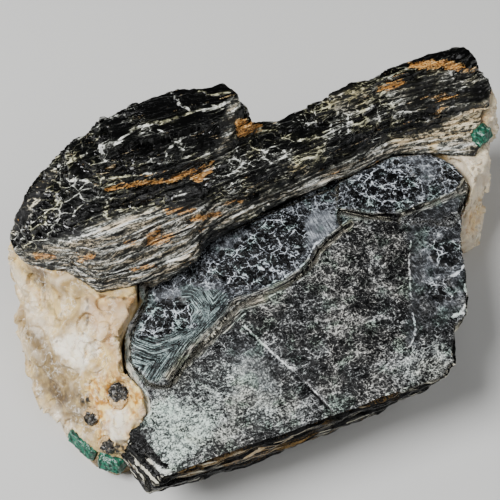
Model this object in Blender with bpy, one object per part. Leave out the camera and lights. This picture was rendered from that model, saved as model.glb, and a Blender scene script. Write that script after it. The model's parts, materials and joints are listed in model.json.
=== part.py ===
"""Phlogopite specimen with its quartz matrix, lying on its flat base.

A book of dark mica with a broad cleavage face lies in front. Behind it a mass
of mica schist climbs in ledges to two lobes with a notch between them. Cream
quartz closes both ends, and green beryl crystals and small mica flakes are
set in the quartz.

Outlines are in millimetres, drawn from above. +X runs along the foliation,
+Y to the back and +Z up from the face that the specimen rests on.
"""

import math
import random

import bmesh
import bpy
from mathutils import Matrix, Vector

MM = 0.001

# Driving heights above the base
BOOK_FACE = 18.6
LEFT_PLATE_TOP = 19.5
RIGHT_FLAP_TOP = 19.3
RIGHT_PLATE_TOP = 20.1
SADDLE = 30.0
RIGHT_LOBE_TOP = 34.5
LEFT_LOBE_TOP = 37.0

# How the pieces meet
CONTACT_GAP = 0.3
LEDGE_SLANT = 0.06
ROOT = 0.9
FOLD_HEIGHT = 0.6
FOLD_WAVELENGTH = 95.0

# Mica schist seen from above. Each height has the same stations: along the
# front from the left, round the right end and back along the rear
SCHIST_WALL = [(-27, 3), (-22, 3.2), (-15, 4.4), (-10, 5.5), (4, 6.3), (20, 7.3),
               (36, 9.1), (43, 6.8), (45.5, 9), (46, 12), (45, 16)]
SCHIST = {
    0.0: [*SCHIST_WALL, (38, 16.5), (23, 17), (12, 17), (8, 21), (4, 25), (-12, 28),
          (-22, 27), (-27.5, 22), (-28.5, 17), (-28, 12), (-28, 8)],
    12.0: [*SCHIST_WALL, (40, 18), (24, 18.5), (12.5, 18), (9, 21), (5.5, 27),
           (-13, 30), (-24, 29), (-28, 23), (-28.5, 17), (-28, 12), (-28, 8)],
    20.3: [*SCHIST_WALL, (40, 19), (24, 19), (12, 18), (9, 20), (5, 28), (-14, 31),
           (-25, 29.5), (-28, 23), (-28.5, 17), (-28, 12), (-28, 8)],
    20.5: [(-27, 1), (-23, -3.3), (-15, -3), (-9, 1), (4, 3), (20, 4.2), (35, 5.4),
           (42.6, 3), (51.4, -1.8), (52, 6), (48, 15.6), (40, 19), (24, 19), (12, 18),
           (9, 20), (5, 28), (-14, 31), (-25, 29.5), (-28, 23), (-28.5, 17),
           (-28, 12), (-28, 8)],
    22.3: [(-27, 1), (-24, -3.3), (-15, -3), (-9, 1), (4, 3), (20, 4.4), (35.4, 6),
           (43, 3.4), (52, -2.2), (53.2, 6), (50, 16), (40, 19), (24, 19), (12, 18),
           (9, 20), (5, 28), (-14, 31), (-25, 29.5), (-28, 23), (-28.5, 17),
           (-28, 12), (-28, 8)],
    22.5: [(-33, -1.8), (-25, -3.6), (-15, -2.6), (-9, 1.4), (4, 3.4), (20, 5),
           (36, 6.8), (43.4, 4), (52.6, -0.8), (54.2, 6), (51, 16.4), (40, 19), (24, 19),
           (12, 18), (9, 20), (5, 28), (-14, 31), (-27, 30), (-38, 23.4),
           (-45, 17.4), (-44, 10.4), (-37, 6)],
    27.2: [(-31.5, 1.6), (-23, 1.4), (-13, 2.8), (-6, 4.8), (5, 6), (20, 7.4),
           (34, 8.4), (45, 6), (55.4, 4), (57, 8.4), (54, 16.6), (41, 18.6),
           (24, 18.8), (12.5, 17.8), (9, 19.6), (5.4, 28), (-13, 31), (-26, 30.4),
           (-37, 24), (-42.6, 18.8), (-41, 12.2), (-35.6, 7)],
    27.4: [(-31.5, 1.6), (-23, 1.4), (-13, 2.8), (-6, 4.8), (5, 6), (20, 7.4),
           (34, 8.8), (45, 6), (56.4, 3.4), (60, 8.4), (57.6, 17), (42, 18.6),
           (24, 18.8), (12.5, 17.8), (9, 19.6), (5.4, 28), (-13, 31), (-26, 30.4),
           (-37, 24), (-42.6, 18.8), (-41, 12.2), (-35.6, 7)],
    30.0: [(-30, 4), (-22, 4.6), (-12, 6), (-4, 8), (6, 9), (20, 10), (34, 11),
           (46, 8.6), (56, 6.2), (60, 9.4), (57.4, 17), (42, 18), (25, 18.2),
           (14, 17), (9, 19), (6, 27), (-12, 30.2), (-25, 30.4), (-33, 25.4),
           (-38, 20.2), (-37, 14), (-33, 9)],
}
LEFT_LOBE = {
    29.1: [(-30, 10), (-20, 8.6), (-8, 9.8), (2, 11.4), (7.4, 14), (7.6, 19.4),
           (4.8, 26), (-10, 29), (-24, 29.2), (-31.6, 24.4), (-35.4, 19.4), (-34, 14)],
    34.0: [(-24, 14), (-14, 12), (-5, 12.2), (2, 13.4), (7, 15.4), (8, 20), (6, 26.2),
           (-6, 28.2), (-19, 29), (-25.4, 26), (-28.4, 20.6), (-27, 16.4)],
    37.0: [(-15, 19.4), (-10, 17.6), (-4, 17.2), (1, 17.6), (5, 18.6), (6.5, 21.6),
           (5, 25.2), (-2, 26), (-9, 26.4), (-14, 26.2), (-17, 25), (-17.4, 22)],
}
RIGHT_LOBE = {
    29.1: [(18, 12.4), (34, 12.8), (46, 10.6), (55, 8.4), (58.8, 10.6), (56.8, 16.2),
           (42, 17.2), (27, 17.4), (18.4, 16.2)],
    32.8: [(21, 14), (34, 14.4), (47, 12.4), (55.6, 10.6), (58, 12.6), (56.8, 16.6),
           (43, 17.4), (28, 17.4), (21.4, 16.6)],
    34.5: [(44, 15.2), (47.6, 14.4), (51.4, 13.8), (55, 13.4), (56.8, 14.8),
           (56, 17.2), (51, 17.6), (47, 17.6), (44.4, 17)],
}

# Mica book seen from above, from its front left corner round to the right
BOOK_BACK = [(43, 5.4), (35, 8), (20, 6), (-10, 4.2), (-24, 1.6)]
BOOK = {
    0.0: [(-31, -31), (-20, -33), (-4, -34), (8, -35), (16, -35), (19, -33),
          (22, -31), (24, -27), (27, -24), (29, -20), (31, -16), (33.5, -11),
          (37, -6), (41, -1), (41.5, 2), *BOOK_BACK, (-26, -5), (-29, -10), (-31, -16),
          (-30, -21), (-31, -26), (-33, -29)],
    9.5: [(-36.5, -37), (-22, -39.5), (-4, -40.5), (8, -40.4), (16, -40.2),
          (19.4, -38.2), (21.6, -35.6), (24.2, -32.6), (28, -30.6), (31, -26.5),
          (33.6, -22.6), (35.6, -16.6), (39, -11), (43, -5.5), (43.6, 0), *BOOK_BACK,
          (-26.4, -5), (-31, -10), (-33, -16), (-32, -22), (-35, -27), (-39, -30)],
    11.2: [(-38.6, -38.4), (-24, -41), (-4, -42), (8, -41.8), (17.4, -41.8),
           (20.6, -40), (22.6, -37.2), (25, -34.2), (29.2, -32.2), (32, -28.2),
           (35.4, -24.8), (37.2, -17.6), (41.2, -12), (46.4, -6), (46, 0), *BOOK_BACK,
           (-26.4, -5), (-32, -10.6), (-34, -16.5), (-32.6, -22.6), (-35, -27.5),
           (-41, -30.5)],
    18.6: [(-36, -40.7), (-20, -41.2), (-3.3, -42.2), (9, -43), (19.2, -44.2),
           (22.6, -42), (24.2, -39.4), (26.6, -35.6), (29.8, -34), (32.6, -30.6),
           (35.2, -25.4), (37.6, -19.6), (41.5, -12.8), (47.4, -6.8), (47.2, -0.8),
           *BOOK_BACK, (-26.4, -5), (-32, -10.8), (-34, -17), (-32.4, -23),
           (-33.5, -27.5), (-38, -29.5)],
}
# Thin plates left on the book's cleavage face
LEFT_PLATE = [(-28.4, -24), (-24.4, -21.4), (-18.9, -18.2), (-15, -16.4),
              (-9.4, -13.4), (-3.9, -12.9), (1.3, -13.3), (6.6, -11.8), (9, -10.2),
              (10.8, -8.4), (14.6, -7.2), (17, -6), (19.6, 4), (5, 3.4), (-9, 2.4),
              (-14, 1.4), (-22.6, -0.6), (-25, -5.8), (-30.6, -11.4), (-32.8, -17),
              (-31.4, -21.8)]
RIGHT_FLAP = [(29.4, -9.8), (34, -11), (38.3, -14.6), (41, -12), (43.4, -9.4),
              (44, -5), (36, -2), (28, -4)]
RIGHT_PLATE = [(18.4, -1.8), (23.8, -5.2), (28.7, -8.2), (34.5, -8), (41.7, -7.6),
               (45, -6.4), (46.8, -4.8), (46.4, -0.8), (42.4, 3.6), (35, 6),
               (21.4, 4)]

# Quartz at both ends, rings of the same stations from the base up
QUARTZ_LEFT = {
    0.0: [(-36.5, -28.6), (-42, -28), (-45, -24.5), (-47.6, -17.5), (-48.4, -9),
          (-47.6, 0), (-46, 8), (-43, 14), (-36, 20), (-26, 21), (-24, 8),
          (-24, -6), (-28, -20)],
    4.0: [(-36.5, -29.6), (-41.6, -27.2), (-45, -22.6), (-48, -16), (-50.2, -7.5),
          (-49, 1), (-47.6, 8), (-45, 15), (-38, 21), (-26, 23), (-24, 8),
          (-24, -6), (-28, -20)],
    9.0: [(-36.5, -29.2), (-40.6, -25.4), (-43.2, -20.6), (-45.2, -14.5),
          (-48.4, -6), (-49.4, 3), (-46.6, 8.4), (-46.4, 15.5), (-39.6, 21.4),
          (-26, 24.5), (-24, 8), (-24, -6), (-28, -20)],
    14.0: [(-36.2, -28.6), (-38, -24), (-40.4, -18.6), (-42.4, -12), (-45, -4.6),
           (-46.4, 3.4), (-46.8, 9.4), (-46.2, 16), (-40, 22), (-26, 25.5),
           (-24, 8), (-24, -6), (-28, -20)],
    18.0: [(-34.4, -27.2), (-35.2, -23.4), (-36.6, -18), (-37.4, -11.4), (-40, -4),
           (-42, 4), (-46, 11), (-45.4, 16.4), (-39, 22.4), (-26, 26), (-24, 8),
           (-24, -6), (-28, -20)],
    22.1: [(-30.4, -20.6), (-31.6, -18), (-32.6, -14), (-33.6, -8), (-35.4, -2.6),
           (-38.6, 5), (-43.6, 12), (-43.6, 16), (-37, 21), (-26, 24), (-24, 8),
           (-24, -3), (-27, -14)],
}
QUARTZ_RIGHT = {
    0.0: [(36, -8), (42, -11.6), (46.4, -10.4), (49.6, -5), (51.4, 3), (50.6, 10.6),
          (46, 14.6), (40, 8)],
    5.0: [(36, -9), (43.5, -13), (49, -11.4), (51.6, -6), (53.6, 3), (52.6, 11.6),
          (47, 15.5), (40, 8)],
    9.5: [(36, -9), (44, -12), (50.2, -8.8), (52.8, -4.4), (55.4, 3.6), (54.6, 12.6),
          (48, 16), (40, 8)],
    15.0: [(36, -8), (45.4, -9.2), (52, -6.4), (54.6, -2.4), (56.8, 4.6), (56, 13.6),
           (49, 17), (40, 8)],
    19.8: [(39, -6), (48.2, -5.8), (53, -3), (56.6, 0.4), (58.6, 5.6), (57.4, 14.6),
           (50, 17.4), (41, 8)],
    22.0: [(50, 5), (53, 2.6), (55.4, 0.8), (57.8, 2.6), (59.4, 7), (58, 14.2),
           (51.4, 15), (48, 10)],
    27.0: [(53.6, 8.4), (55.6, 6), (57.8, 4.4), (59.2, 5.4), (60.4, 8.6), (58.6, 14),
           (53.2, 15), (51, 11)],
}

# Crystals in the quartz: centre, turn about Z, tilt in degrees and length
BERYL_ACROSS_FLATS = 3.4
BERYL_PLACES = {
    "beryl_front": ((-45.2, -20.6, 3.4), -68, 6, 6.4),
    "beryl_corner": ((-42.0, -26.6, 3.4), -44, -5, 4.8),
    "beryl_right": ((53.8, 0.8, 23.5), 28, 8, 3.8),
}
# Flakes: centre, radius, then turn about Z and tilt in degrees
FLAKE_THICKNESS = 0.6
FLAKE_PLACES = {
    "mica_flake_upper": ((-36.6, -20.2, 15.6), 2.8, 30, -50),
    "mica_flake_middle": ((-42.4, -19.4, 10.4), 1.9, -12, -50),
    "mica_flake_lower": ((-41.6, -24.9, 8.0), 2.0, 24, -58),
}

# Colours as the eye sees them, with roughness and how metallic each looks
FINISHES = {
    "phlogopite_book": ("#20262B", 0.28, 0.15),
    "phlogopite_schist": ("#2A2A25", 0.38, 0.10),
    "quartz": ("#CDBCA4", 0.45, 0.0),
    "beryl": ("#2F9A78", 0.20, 0.0),
    "mica_flake": ("#2A2826", 0.32, 0.15),
}


def clear_scene():
    """Removes every object that the file opened with."""
    for old in list(bpy.data.objects):
        bpy.data.objects.remove(old, do_unlink=True)


def linear(channel):
    """Turns one sRGB channel from 0 to 1 into linear light."""
    return channel / 12.92 if channel <= 0.04045 else ((channel + 0.055) / 1.055) ** 2.4


def finish(name):
    """Makes the material of one of the named finishes."""
    code, roughness, metallic = FINISHES[name]
    made = bpy.data.materials.get(name) or bpy.data.materials.new(name)
    made.use_nodes = True
    shader = made.node_tree.nodes["Principled BSDF"]
    rgb = [linear(int(code[i:i + 2], 16) / 255) for i in (1, 3, 5)]
    shader.inputs["Base Color"].default_value = (*rgb, 1)
    shader.inputs["Roughness"].default_value = roughness
    shader.inputs["Metallic"].default_value = metallic
    return made


def outline_at(keys, height):
    """The outline at a height, between the key outlines below and above it."""
    heights = sorted(keys)
    height = min(max(height, heights[0]), heights[-1])
    upper = next(h for h in heights if h >= height)
    lower = max(h for h in heights if h <= height)
    share = 0 if upper == lower else (height - lower) / (upper - lower)
    return [Vector(a).lerp(Vector(b), share) for a, b in zip(keys[lower], keys[upper])]


def torn(outline, amount, rng):
    """Breaks each edge once and moves all points a little, as torn mica does."""
    broken = []
    for here, after in zip(outline, outline[1:] + outline[:1]):
        broken += [here, here.lerp(after, rng.uniform(0.35, 0.65))]
    return [p + Vector((rng.uniform(-amount, amount), rng.uniform(-amount, amount)))
            for p in broken]


def grown(outline, by):
    """Moves each edge of a counterclockwise outline outwards."""
    moved = []
    count = len(outline)
    for i, here in enumerate(outline):
        into = (here - outline[i - 1]).normalized()
        out = (outline[(i + 1) % count] - here).normalized()
        facing = Vector((into.y, -into.x))
        side = (facing + Vector((out.y, -out.x))).normalized()
        moved.append(here + side * by / max(0.6, side.dot(facing)))
    return moved


def solid_from_rings(name, rings):
    """Closes a stack of rings, each a list of 3D points in mm, into one solid."""
    made = bmesh.new()
    loops = [[made.verts.new(Vector(p) * MM) for p in ring] for ring in rings]
    count = len(loops[0])
    for below, above in zip(loops, loops[1:]):
        for i in range(count):
            j = (i + 1) % count
            made.faces.new((below[i], below[j], above[j], above[i]))
    made.faces.new(list(reversed(loops[0])))
    made.faces.new(loops[-1])
    bmesh.ops.triangulate(made, faces=made.faces[:])
    bmesh.ops.recalc_face_normals(made, faces=made.faces[:])
    mesh = bpy.data.meshes.new(name)
    made.to_mesh(mesh)
    made.free()
    solid = bpy.data.objects.new(name, mesh)
    bpy.context.scene.collection.objects.link(solid)
    return solid


def flat_ring(outline, height):
    """An outline's points at one height."""
    return [(p[0], p[1], height) for p in outline]


def plate(name, outline, bottom, top):
    """An upright prism of one outline between two heights in mm."""
    return solid_from_rings(name, [flat_ring(outline, bottom), flat_ring(outline, top)])


def stack(name, keys, levels, raggedness, seed):
    """A stack of sheets, each with its own torn outline, in one closed solid."""
    rng = random.Random(seed)
    rings = []
    for bottom, top in zip(levels, levels[1:]):
        outline = torn(outline_at(keys, (bottom + top) / 2), raggedness, rng)
        low = bottom if bottom == levels[0] else bottom + LEDGE_SLANT
        high = top if top == levels[-1] else top - LEDGE_SLANT
        rings += [flat_ring(outline, low), flat_ring(outline, high)]
    return solid_from_rings(name, rings)


def uneven(bottom, top, count, seed):
    """Heights from bottom to top with sheets of unequal thickness between."""
    rng = random.Random(seed)
    step = (top - bottom) / count
    inner = [bottom + step * (i + rng.uniform(-0.28, 0.28)) for i in range(1, count)]
    return [bottom, *inner, top]


def outer(one, other):
    """At each station of two outlines, the point that lies farther out."""
    away = grown(one, 1)
    return [b if (b - a).dot(far - a) > 0 else a for a, b, far in zip(one, other, away)]


def room_for(name, keys, levels, raggedness):
    """A plain solid that clears a stack by the contact gap, for cutting."""
    clear = CONTACT_GAP + 1.2 * raggedness
    outlines = [grown(outline_at(keys, (a + b) / 2), clear)
                for a, b in zip(levels, levels[1:])]
    reach = CONTACT_GAP - LEDGE_SLANT
    rings = [flat_ring(outlines[0], levels[0] - ROOT)]
    for one, other, height in zip(outlines, outlines[1:], levels[1:]):
        both = outer(one, other)
        rings += [flat_ring(one, height - reach - LEDGE_SLANT),
                  flat_ring(both, height - reach),
                  flat_ring(both, height + reach),
                  flat_ring(other, height + reach + LEDGE_SLANT)]
    rings.append(flat_ring(outlines[-1], levels[-1] + ROOT))
    return solid_from_rings(name, rings)


def baked(solid):
    """Replaces a solid's mesh by what its modifiers make of it."""
    graph = bpy.context.evaluated_depsgraph_get()
    mesh = bpy.data.meshes.new_from_object(solid.evaluated_get(graph))
    solid.modifiers.clear()
    solid.data = mesh
    return solid


def combine(solid, others, operation):
    """Joins others to a solid, or cuts them from it, and removes them."""
    for other in others:
        step = solid.modifiers.new(operation, "BOOLEAN")
        step.operation = operation
        step.solver = "EXACT"
        step.object = other
        baked(solid)
        bpy.data.objects.remove(other, do_unlink=True)
    return solid


BOOK_TEAR = 0.3
BOOK_LEVELS = [0, 4, 7.2, 10.3, *uneven(12.4, BOOK_FACE, 4, 3)]
SCHIST_TEAR = 0.45
SCHIST_LEVELS = [0, 6, 12, 16.5, 20.4, 21.4, 22.4, *uneven(23.6, 27.3, 3, 5),
                 *uneven(28.2, SADDLE, 2, 6)]


def build_schist():
    """The foliated mass: ledges over book and quartz, then the two lobes."""
    body = stack("phlogopite_schist", SCHIST, SCHIST_LEVELS, SCHIST_TEAR, 11)
    left = stack("left_lobe", LEFT_LOBE,
                 [SADDLE - ROOT, *uneven(31, LEFT_LOBE_TOP, 6, 8)], 0.5, 31)
    right = stack("right_lobe", RIGHT_LOBE,
                  [SADDLE - ROOT, *uneven(30.9, RIGHT_LOBE_TOP, 4, 4)], 0.4, 47)
    return combine(body, [left, right], "UNION")


def build_book():
    """The book: a stepped foot, an overhanging body and plates on its face."""
    body = stack("phlogopite_book", BOOK, BOOK_LEVELS, BOOK_TEAR, 53)
    plates = []
    for name, outline, top, seed in (("left_plate", LEFT_PLATE, LEFT_PLATE_TOP, 61),
                                     ("right_flap", RIGHT_FLAP, RIGHT_FLAP_TOP, 67),
                                     ("right_plate", RIGHT_PLATE, RIGHT_PLATE_TOP, 71)):
        edge = torn([Vector(p) for p in outline], 0.25, random.Random(seed))
        plates.append(plate(name, edge, BOOK_FACE - ROOT, top))
    return combine(body, plates, "UNION")


def build_quartz(name, keys, seed, roughen):
    """A lump of quartz with uneven broken faces, cut back from the mica."""
    rng = random.Random(seed)
    heights = sorted(keys)
    rings = []
    for height in heights:
        ends = height in (heights[0], heights[-1])
        shift = 0 if ends else roughen
        rings.append([(x + rng.uniform(-shift, shift), y + rng.uniform(-shift, shift),
                       height + rng.uniform(-shift, shift)) for x, y in keys[height]])
    lump = solid_from_rings(name, rings)
    book_room = room_for("book_room", BOOK, [*BOOK_LEVELS, SADDLE], BOOK_TEAR)
    schist_room = room_for("schist_room", SCHIST, SCHIST_LEVELS, SCHIST_TEAR)
    return combine(lump, [book_room, schist_room], "DIFFERENCE")


def placed(solid, centre, turn, tilt):
    """Moves a solid made about the origin to its place, into its mesh."""
    place = (Matrix.Translation(Vector(centre) * MM)
             @ Matrix.Rotation(math.radians(turn), 4, "Z")
             @ Matrix.Rotation(math.radians(tilt), 4, "Y"))
    solid.data.transform(place)
    return solid


def beryl_crystal(name, grow=0.0):
    """A short six-sided prism, lying along its length, with trimmed ends."""
    centre, turn, tilt, length = BERYL_PLACES[name]
    across = BERYL_ACROSS_FLATS / math.sqrt(3) + grow
    half = length / 2 + grow
    rings = []
    for along, share in ((-half, 0.78), (-half + 0.5, 1), (half - 0.5, 1), (half, 0.78)):
        rings.append([(along, across * share * math.cos(math.radians(60 * k)),
                       across * share * math.sin(math.radians(60 * k)))
                      for k in range(6)])
    return placed(solid_from_rings(name, rings), centre, turn, tilt)


def mica_flake(name, grow=0.0):
    """A little stack of plates of uneven size, or the plain room for one."""
    centre, radius, turn, tilt = FLAKE_PLACES[name]
    rng = random.Random(name)
    corners = [(math.cos(math.radians(a)), 0.85 * math.sin(math.radians(a)))
               for a in range(0, 360, 45)]
    half = 1.5 * FLAKE_THICKNESS
    if grow:
        room = [Vector(c) * (radius * 1.08 + grow) for c in corners]
        return placed(plate(name, room, -half - grow, half + grow), centre, turn, tilt)
    rings = []
    for layer in range(3):
        size = radius * (0.8, 1.0, 0.88)[layer]
        edge = [Vector(c) * size * rng.uniform(0.92, 1.08) for c in corners]
        low = -half + layer * FLAKE_THICKNESS
        high = low + FLAKE_THICKNESS - LEDGE_SLANT
        rings += [flat_ring(edge, low), flat_ring(edge, high)]
    return placed(solid_from_rings(name, rings), centre, turn, tilt)


def fold(solid):
    """Bends the sheets in one gentle wave that fades out at the flat base."""
    for vertex in solid.data.vertices:
        x, y, z = (c / MM for c in vertex.co)
        wave = math.sin(math.tau * (x + 0.6 * y + 12) / FOLD_WAVELENGTH)
        vertex.co.z += FOLD_HEIGHT * wave * (z / LEFT_LOBE_TOP) * MM


def centre_on_base(solids):
    """Moves all the solids so that the origin is under their middle."""
    xs = [v.co.x for s in solids for v in s.data.vertices]
    ys = [v.co.y for s in solids for v in s.data.vertices]
    middle = Vector(((min(xs) + max(xs)) / 2, (min(ys) + max(ys)) / 2, 0))
    for solid in solids:
        solid.data.transform(Matrix.Translation(-middle))


def main():
    clear_scene()
    book = build_book()
    schist = build_schist()
    left = build_quartz("quartz_left", QUARTZ_LEFT, 7, 0.8)
    right = build_quartz("quartz_right", QUARTZ_RIGHT, 9, 0.6)

    crystals = [beryl_crystal(name) for name in BERYL_PLACES]
    flakes = [mica_flake(name) for name in FLAKE_PLACES]
    pockets = [beryl_crystal(name, CONTACT_GAP) for name in ("beryl_front", "beryl_corner")]
    pockets += [mica_flake(name, CONTACT_GAP) for name in FLAKE_PLACES]
    combine(left, pockets, "DIFFERENCE")
    for neighbour in (schist, right):
        combine(neighbour, [beryl_crystal("beryl_right", CONTACT_GAP)], "DIFFERENCE")

    finishes = [(book, "phlogopite_book"), (schist, "phlogopite_schist"),
                (left, "quartz"), (right, "quartz")]
    finishes += [(crystal, "beryl") for crystal in crystals]
    finishes += [(flake, "mica_flake") for flake in flakes]
    for solid, name in finishes:
        fold(solid)
        solid.data.materials.clear()
        solid.data.materials.append(finish(name))
    centre_on_base([solid for solid, _ in finishes])


main()
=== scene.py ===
"""Looks of the phlogopite specimen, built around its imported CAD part.

Each mineral is a copy of its CAD solid, remeshed finely and broken up into the sheets,
cleavage steps and facets of the real one. Marks that belong to one place, such as an
iron stain, are laid on the surface where they show in the camera's picture.

All lengths inside the script are millimetres until they are written to Blender.
"""

from __future__ import annotations

import json
import logging
import math
from dataclasses import dataclass, field
from enum import Enum
from itertools import product
from typing import Iterable, Sequence, Union

import bpy
import numpy as np
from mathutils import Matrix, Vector
from mathutils.bvhtree import BVHTree

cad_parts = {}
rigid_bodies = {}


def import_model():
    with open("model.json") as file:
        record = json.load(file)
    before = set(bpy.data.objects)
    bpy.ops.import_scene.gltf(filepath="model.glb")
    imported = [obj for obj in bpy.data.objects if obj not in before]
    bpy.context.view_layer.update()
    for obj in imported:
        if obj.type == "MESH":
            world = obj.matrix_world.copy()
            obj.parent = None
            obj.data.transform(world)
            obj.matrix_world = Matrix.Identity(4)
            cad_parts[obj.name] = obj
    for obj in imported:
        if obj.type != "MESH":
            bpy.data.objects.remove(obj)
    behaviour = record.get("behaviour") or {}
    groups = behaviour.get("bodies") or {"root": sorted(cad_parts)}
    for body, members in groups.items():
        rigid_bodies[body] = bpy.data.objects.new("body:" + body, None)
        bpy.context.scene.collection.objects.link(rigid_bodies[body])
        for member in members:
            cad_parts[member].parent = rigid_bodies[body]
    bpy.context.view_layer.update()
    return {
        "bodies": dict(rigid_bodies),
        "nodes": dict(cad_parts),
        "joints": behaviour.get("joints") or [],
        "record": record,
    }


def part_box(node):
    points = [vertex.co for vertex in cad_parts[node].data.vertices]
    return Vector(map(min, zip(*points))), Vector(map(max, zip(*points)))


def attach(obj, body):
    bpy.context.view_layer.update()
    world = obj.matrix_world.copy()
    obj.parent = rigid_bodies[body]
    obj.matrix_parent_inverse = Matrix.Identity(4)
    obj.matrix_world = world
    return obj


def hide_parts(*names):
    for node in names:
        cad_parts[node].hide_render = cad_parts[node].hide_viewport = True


logging.basicConfig(level=logging.INFO, format="%(message)s")
log = logging.getLogger("specimen")

MM = 0.001
PIXEL = 0.2  # mm shown by one pixel of the picture, about
CLEARANCE = 0.01  # mm that a piece keeps from the sides of its CAD solid's box
BASE_BAND = 0.35  # mm above the ground that are pressed flat on it
CONTACT_REACH = 2.0  # mm within which two minerals count as neighbours
Points = np.ndarray
Pixels = Sequence[tuple[float, float]]
Value = Union[float, bpy.types.Node, bpy.types.NodeSocket]
Colour = Union[str, bpy.types.NodeSocket]


# Patterns in space


def smooth(low: float, high: float, value: np.ndarray) -> np.ndarray:
    """Rises smoothly from 0 at low to 1 at high.

    Args:
        low: Where the rise starts; above high for a fall.
        high: Where it ends.
        value: Numbers to grade.

    Returns:
        Values from 0 to 1.
    """
    t = np.clip((value - low) / (high - low), 0.0, 1.0)
    return t * t * (3.0 - 2.0 * t)


def scramble(cells: np.ndarray, seed: int) -> np.ndarray:
    """Gives each whole-number cell a random 32 bit number.

    Args:
        cells: Whole numbers, one row of three for each cell.
        seed: Which of the patterns to use.

    Returns:
        One number for each row.
    """
    mask = np.uint64(0xFFFFFFFF)
    x, y, z = (cells[..., i].astype(np.int64).astype(np.uint64) for i in range(3))
    mixed = (x * np.uint64(0x9E3779B1)) ^ (y * np.uint64(0x85EBCA77)) ^ (z * np.uint64(0xC2B2AE3D))
    mixed = (mixed ^ np.uint64((seed * 0x27D4EB2F) & 0xFFFFFFFF)) & mask
    for shift, factor in ((15, 0x2C1B3C6D), (12, 0x297A2D39)):
        mixed = ((mixed ^ (mixed >> np.uint64(shift))) * np.uint64(factor)) & mask
    return mixed ^ (mixed >> np.uint64(15))


def randoms(cells: np.ndarray, seed: int) -> np.ndarray:
    """Three random numbers from 0 to 1 for each whole-number cell.

    Args:
        cells: Whole numbers, one row of three for each cell.
        seed: Which of the patterns to use.

    Returns:
        Three numbers for each row.
    """
    number = scramble(cells, seed)
    parts = [(number >> np.uint64(10 * i)) & np.uint64(1023) for i in range(3)]
    return np.stack(parts, axis=-1).astype(float) / 1023.0


def noise(points: Points, size: float | Sequence[float], seed: int = 0) -> np.ndarray:
    """Smooth random values in space, from about -1 to 1.

    Args:
        points: Places in mm.
        size: Size in mm of one bump, or one size for each axis.
        seed: Which of the patterns to use.

    Returns:
        One value for each point.
    """
    scaled = points / np.asarray(size, float)
    base = np.floor(scaled).astype(np.int64)
    local = scaled - base
    ease = local**3 * (local * (local * 6 - 15) + 10)
    total = np.zeros(len(points))
    for corner in product((0, 1), repeat=3):
        slope = randoms(base + corner, seed) * 2 - 1
        share = np.prod(np.where(corner, ease, 1 - ease), axis=1)
        total += share * np.sum(slope * (local - corner), axis=1)
    return total * 1.6


def rough(points: Points, size: float | Sequence[float], octaves: int, seed: int) -> np.ndarray:
    """Noise summed over octaves, each half the size and strength of the one before.

    Args:
        points: Places in mm.
        size: Size in mm of the largest bumps, or one size for each axis.
        octaves: How many times the bumps are halved.
        seed: Which of the patterns to use.

    Returns:
        One value for each point.
    """
    size = np.asarray(size, float)
    return sum(noise(points, size / 2**i, seed + 17 * i) / 2**i for i in range(octaves))


def cells(points: Points, size: float | Sequence[float], seed: int) -> tuple[np.ndarray, ...]:
    """Splits space into random cells.

    Args:
        points: Places in mm.
        size: Size in mm of one cell, or one size for each axis.
        seed: Which of the patterns to use.

    Returns:
        The distance to the nearest cell border, three random numbers of the cell, and
        the way from the cell's centre, all in units of the size.
    """
    scaled = points / np.asarray(size, float)
    base = np.floor(scaled).astype(np.int64)
    nearest = np.full(len(points), 9.0)
    second = np.full(len(points), 9.0)
    chosen = np.zeros((len(points), 3))
    away = np.zeros((len(points), 3))
    for step in product((-1, 0, 1), repeat=3):
        cell = base + step
        offset = scaled - (cell + 0.1 + 0.8 * randoms(cell, seed))
        distance = np.linalg.norm(offset, axis=1)
        closer = distance < nearest
        second = np.where(closer, nearest, np.minimum(second, distance))
        nearest = np.where(closer, distance, nearest)
        chosen[closer] = randoms(cell[closer], seed + 101)
        away[closer] = offset[closer]
    return (second - nearest) / 2, chosen, away


def facets(points: Points, size: float, steep: float, crisp: float, seed: int) -> np.ndarray:
    """Heights of broken flat faces that meet in creases.

    Args:
        points: Places in mm.
        size: Size in mm of one face.
        steep: Tangent of the faces' largest tilt.
        crisp: How sharp the creases are, from about 4.
        seed: Which of the patterns to use.

    Returns:
        Heights in mm, near 0 on average.
    """
    scaled = points / size
    base = np.floor(scaled).astype(np.int64)
    weights = np.zeros(len(points))
    heights = np.zeros(len(points))
    for step in product((-1, 0, 1), repeat=3):
        cell = base + step
        offset = scaled - (cell + 0.1 + 0.8 * randoms(cell, seed))
        weight = np.exp(-crisp * crisp * np.sum(offset**2, axis=1))
        tilt = (randoms(cell, seed + 55) * 2 - 1) * steep
        lift = (randoms(cell, seed + 77)[:, 0] - 0.5) * steep * 0.6
        weights += weight
        heights += weight * (np.sum(offset * tilt, axis=1) + lift)
    return heights / np.maximum(weights, 1e-12) * size


# Where marks lie, as the camera shows them


STROKE_FALL = 6.0  # pixels over which a stroke fades to nothing


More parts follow.
